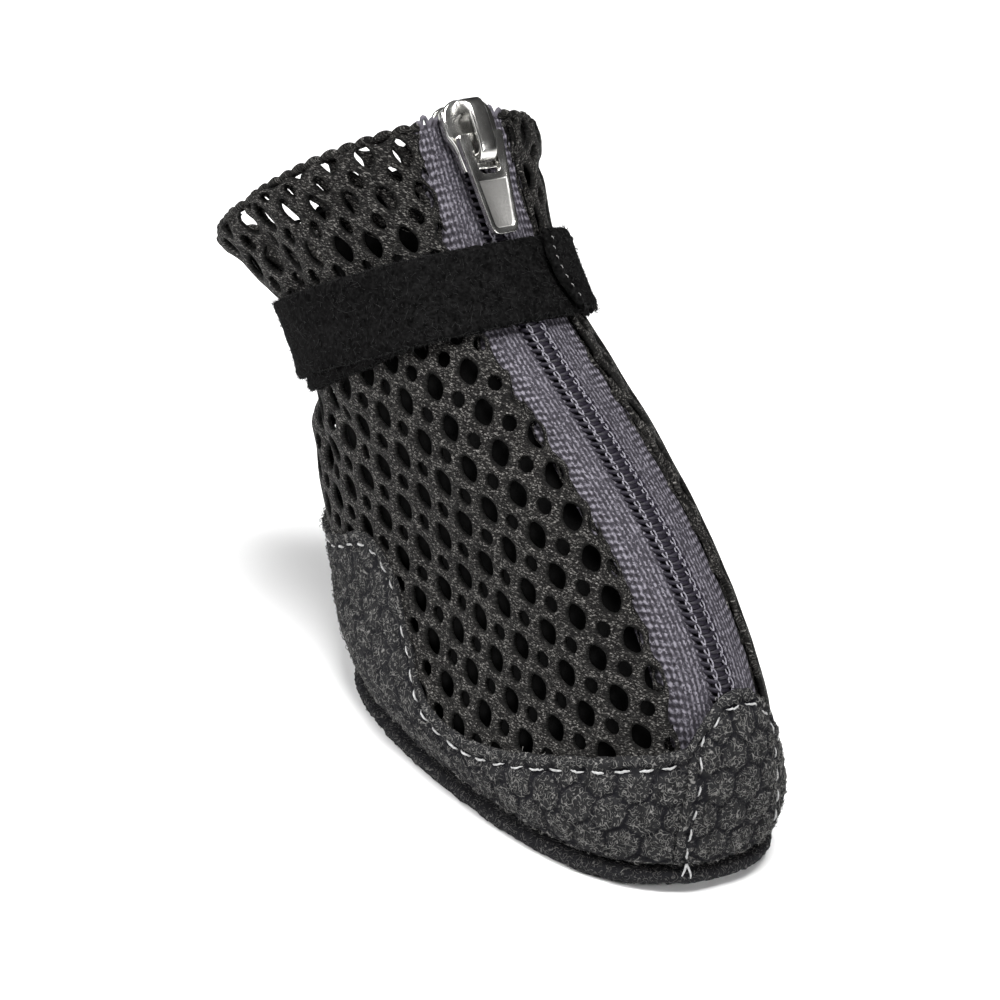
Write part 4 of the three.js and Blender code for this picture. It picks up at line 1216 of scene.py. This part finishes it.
def stitches(line, outward):
    """Stitches along a line of points; each dips into the suede at both ends, no two alike."""
    lengths = lengths_along(line)
    made = []
    for start in np.arange(0.4, lengths[-1] - STITCH_LONG, STITCH_PITCH):
        reach = STITCH_LONG * rng.uniform(0.82, 1.08)
        along = start + reach * np.linspace(0, 1, 9) + 0.35 * (rng.random() - 0.5)
        points = np.stack([np.interp(along, lengths, line[:, k]) for k in range(3)], 1)
        up = np.stack([np.interp(along, lengths, outward[:, k]) for k in range(3)], 1)
        arch = np.sin(math.pi * np.linspace(0, 1, 9)) ** 0.7
        skew = np.cross(points[-1] - points[0], up[4])
        skew /= max(np.linalg.norm(skew), 1e-9)
        lean = 0.5 * (rng.random() - 0.5) * np.linspace(-1, 1, 9) + 0.05 * rng.normal(size=9)
        points += up * (rng.uniform(0.34, 0.5) * arch - 0.34)[:, None] + skew * lean[:, None]
        made.append((points, THREAD * rng.uniform(0.8, 1.1) * (0.35 + 0.65 * arch)))
    return made


def seam_line(section, angle, height):
    line = on_last(section, angle, height)
    above = on_last(section, angle, height + 1)
    return line, above - line


angles = np.linspace(CAP_TO + 1.5, 360 + CAP_FROM - 1.5, 900)
top = rand_top(angles)
lift = np.linalg.norm(on_last(top, angles, 1.7) - on_last(top - 0.3, angles, 1.7), axis=1) / 0.3
threads = stitches(*seam_line(top - STITCH_INSET / lift, angles, SUEDE_HEIGHT - 0.3))

cap_share = np.linspace(0, 1, 160)
cap_angles = cap_angles_at(cap_share)
cap_edge = cap_top(cap_angles, cap_share)
inset_share = STITCH_INSET / (band_flat(np.array([1.3]), np.array([CAP_TO]))[0, 0] * 2)
inner = (cap_share > inset_share * 1.15) & (cap_share < 1 - inset_share * 1.15)
lower_edge = on_last(cap_edge - 0.3, cap_angles, 2.1)
down = np.linalg.norm(on_last(cap_edge, cap_angles, 2.1) - lower_edge, axis=1) / 0.3
inset_edge = cap_edge - STITCH_INSET / down
cap_height = SUEDE_HEIGHT + 0.1
over_top, over_angles = inset_edge[inner], cap_angles[inner]
top_line, top_up = seam_line(over_top, over_angles, cap_height)
side_lines = [seam_line(np.linspace(0.12, over_top[k], 60), np.full(60, over_angles[k]), cap_height)
              for k in (0, -1)]
(left_line, left_up), (right_line, right_up) = side_lines
threads += stitches(np.vstack([left_line, top_line, right_line[::-1]]),
                    np.vstack([left_up, top_up, right_up[::-1]]))

# A short tail of thread ends the seam at the cap's lower right corner, over the sole's edge.
sweep = np.linspace(0, 1, 9)
for reach, bend in ((2.6, 0.5), (1.9, -0.3)):
    hanging = [0.5 * bend * np.sin(3 * sweep), 0.9 * reach * sweep * bend, -reach * sweep]
    line = left_line[0] + np.stack(hanging, 1)
    line += left_up[0] * (0.25 + 0.35 * np.sin(3 * sweep))[:, None]
    threads.append((line, THREAD * (1.0 - 0.4 * sweep)))
make_piece("lock_stitches", tubes(threads), lock_thread)

# Strap: hook-and-loop webbing 13 mm wide, its brushed loop face outwards, wound nearly twice
# round the ankle over the zip, with its free end turned under at the foot's left.
STRAP_FROM, STRAP_TURN, END_TURN = -50.0, 657.0, 85.0
STRAP_SLIP = 0.62
STEP_FROM, STEP_TO = 325.0, 362.0
STRAP_MIDDLE, STRAP_WIDE, STRAP_RUN = 8.0, 12.8, 254.0
SECTION_RISE, FRONT_RISE = 5.5, 6.12
STRAP_DEPTH, STRAP_CLEAR = 1.2, 0.7
FOLD_TURN = 26.0
ROUND_DEEP, ROUND_WIDE = 0.95, 1.7
brushed, tree, shader = new_material("brushed black loop webbing")
coords = add_node(tree, "TexCoord").outputs["Object"]
nap_noise = add_node(tree, "TexNoise", {"Vector": coords}, {"Scale": 2000.0, "Detail": 3.0, "Roughness": 0.7})
tufts = add_node(tree, "TexNoise", {"Vector": coords}, {"Scale": 900.0, "Detail": 2.0, "Distortion": 1.2})
fluff = add_node(tree, "Math", {0: nap_noise.outputs["Fac"], 1: tufts.outputs["Fac"]}, operation="MULTIPLY")
nap_ramp = add_node(tree, "ValToRGB", {"Fac": fluff.outputs[0]}, stops=((0.14, "#020202"), (0.42, "#151515")))
finish_surface(tree, shader, nap_ramp.outputs[0], 1.0, 0.03, fluff.outputs[0], (0.9, 0.0003))


def strap_place(turned, width, lift):
    """A point of the strap: how far it is wound, share across its width, height over its back."""
    step = smooth_step((turned - STEP_FROM) / (STEP_TO - STEP_FROM))
    out = STRAP_CLEAR + (STRAP_DEPTH + 0.3) * step
    sag = np.minimum(1, np.abs(turned - END_TURN) / END_TURN)
    rise = np.clip((turned - STRAP_TURN + END_TURN) / END_TURN, 0, None)
    slip = 0.12 * rise - STRAP_SLIP * np.cos(math.pi / 2 * sag) ** 2
    angle = STRAP_FROM - turned
    rise_here = SECTION_RISE + (FRONT_RISE - SECTION_RISE) * np.cos(np.radians(angle))
    section = STRAP_MIDDLE + slip + (width - 0.5) * STRAP_WIDE / rise_here
    there = on_last(STRAP_MIDDLE, angle)
    wave = 0.35 * lumps(there, 9.0, 6.0)
    tilt = 0.5 * lumps(there + (0, 0, 40), 14.0, 2.0) * (width - 0.5)
    folded = 0.45 * smooth_step((turned - STRAP_TURN + FOLD_TURN) / 4)
    return on_last(section, angle, out + lift + wave + tilt + folded)


def strap_end(width):
    """How far the strap is wound where its free end stops: the end is rounded, mostly at the
    corner whose share of the width is 0."""
    return STRAP_TURN - 9 * np.clip(1 - width / 0.65, 0, 1) ** 2 - 3 * np.clip(width / 0.35 - 1.857, 0, 1) ** 2


bm, u, v = grid_sheet(430, 40)
turned = STRAP_TURN * u - (STRAP_TURN - strap_end(v)) * smooth_step((u - 0.95) / 0.05)
edge = np.minimum(np.minimum(v, 1 - v) * STRAP_WIDE, np.minimum(u, 1 - u) * STRAP_RUN)
rounding = ROUND_DEEP * (1 - np.sqrt(1 - np.clip(1 - edge / ROUND_WIDE, 0, 1) ** 2))
flat = np.stack([u * STRAP_RUN, v * STRAP_WIDE], 1)
nap = 0.15 * lumps(np.c_[flat, np.zeros(len(flat))], 0.9, 1.0)
nap += 0.12 * lumps(np.c_[flat, np.ones(len(flat))], 2.6, 2.0)
ragged = 0.03 * lumps(np.c_[flat[:, 0:1], np.zeros((len(flat), 2))], 0.8, 5.0) * np.clip(1 - edge / 1.5, 0, 1)
set_places(bm, strap_place(turned, v + ragged * np.sign(v - 0.5), STRAP_DEPTH - rounding + nap))
face_outwards(bm, INSIDE_SHAFT)
webbing = make_piece("strap_webbing", bm, brushed, replaces=["strap"], modifiers=[thick(0.85)])

# Loose nap: short hairs of the loop face, mottled in dark greys, that blur its surface and edges.
loop_hair = two_toned("loop hair", 1300.0, 1.0, "#070707", "#2b2b2b", 0.9, 0.1)

HAIR_LONG, HAIR_THICK, HAIRS = 0.55, 0.045, 9600
width = rng.random(HAIRS)
width = np.where(rng.random(HAIRS) < 0.3, np.where(width < 0.5, 0.015, 0.985), width)
turned = np.minimum(rng.uniform(4, STRAP_TURN - 2, HAIRS), strap_end(width) - 2)
nearness = np.clip(1 - np.minimum(width, 1 - width) * STRAP_WIDE / ROUND_WIDE, 0, 1)
roots = strap_place(turned, width, STRAP_DEPTH - ROUND_DEEP * (1 - np.sqrt(1 - nearness**2)))
outer = strap_place(turned, width, STRAP_DEPTH + 1.0) - strap_place(turned, width, STRAP_DEPTH)
past = strap_place(turned, width + 0.02, STRAP_DEPTH) - strap_place(turned, width, STRAP_DEPTH)
past /= np.linalg.norm(past, axis=1)[:, None]
steps = np.linspace(0, 1, 3)
lines = []
for root, up, edgeways, share in zip(roots, outer, past, width):
    sideways = np.clip((share - 0.5) * 2, -1, 1) ** 15
    way = up * rng.uniform(0.05, 0.3) + edgeways * (0.35 * sideways + 0.5 * rng.normal())
    way += 0.4 * rng.normal(size=3)
    curl = 0.8 * rng.normal(size=3)
    length = HAIR_LONG * rng.uniform(0.4, 1.0)
    line = root + length * (steps[:, None] * way + (steps**2)[:, None] * curl)
    lines.append((line, HAIR_THICK * (1 - 0.6 * steps)))
strap_nap = make_piece("strap_nap", tubes(lines, 0), loop_hair)

# Short light stitches beside the strap's free end hold its folded edge down.
lines = []
for width in np.linspace(0.14, 0.86, 7):
    ends = strap_place(strap_end(width) - 3.2 + np.array((0.0, 0.4, 0.8)), width + np.array((-0.02, 0.0, 0.02)),
                       STRAP_DEPTH - 0.08 + np.array((0.0, 0.12, 0.0)))
    lines.append((ends, 0.045))
end_stitches = make_piece("strap_end_stitches", tubes(lines), lock_thread)

# Flat sizes of the cut cloth, in metres: the strap's is its width and its centreline, and each of
# the others is what its pattern measures on the last.
for side in ("left", "right"):
    panel = bpy.data.objects["mesh_" + side]
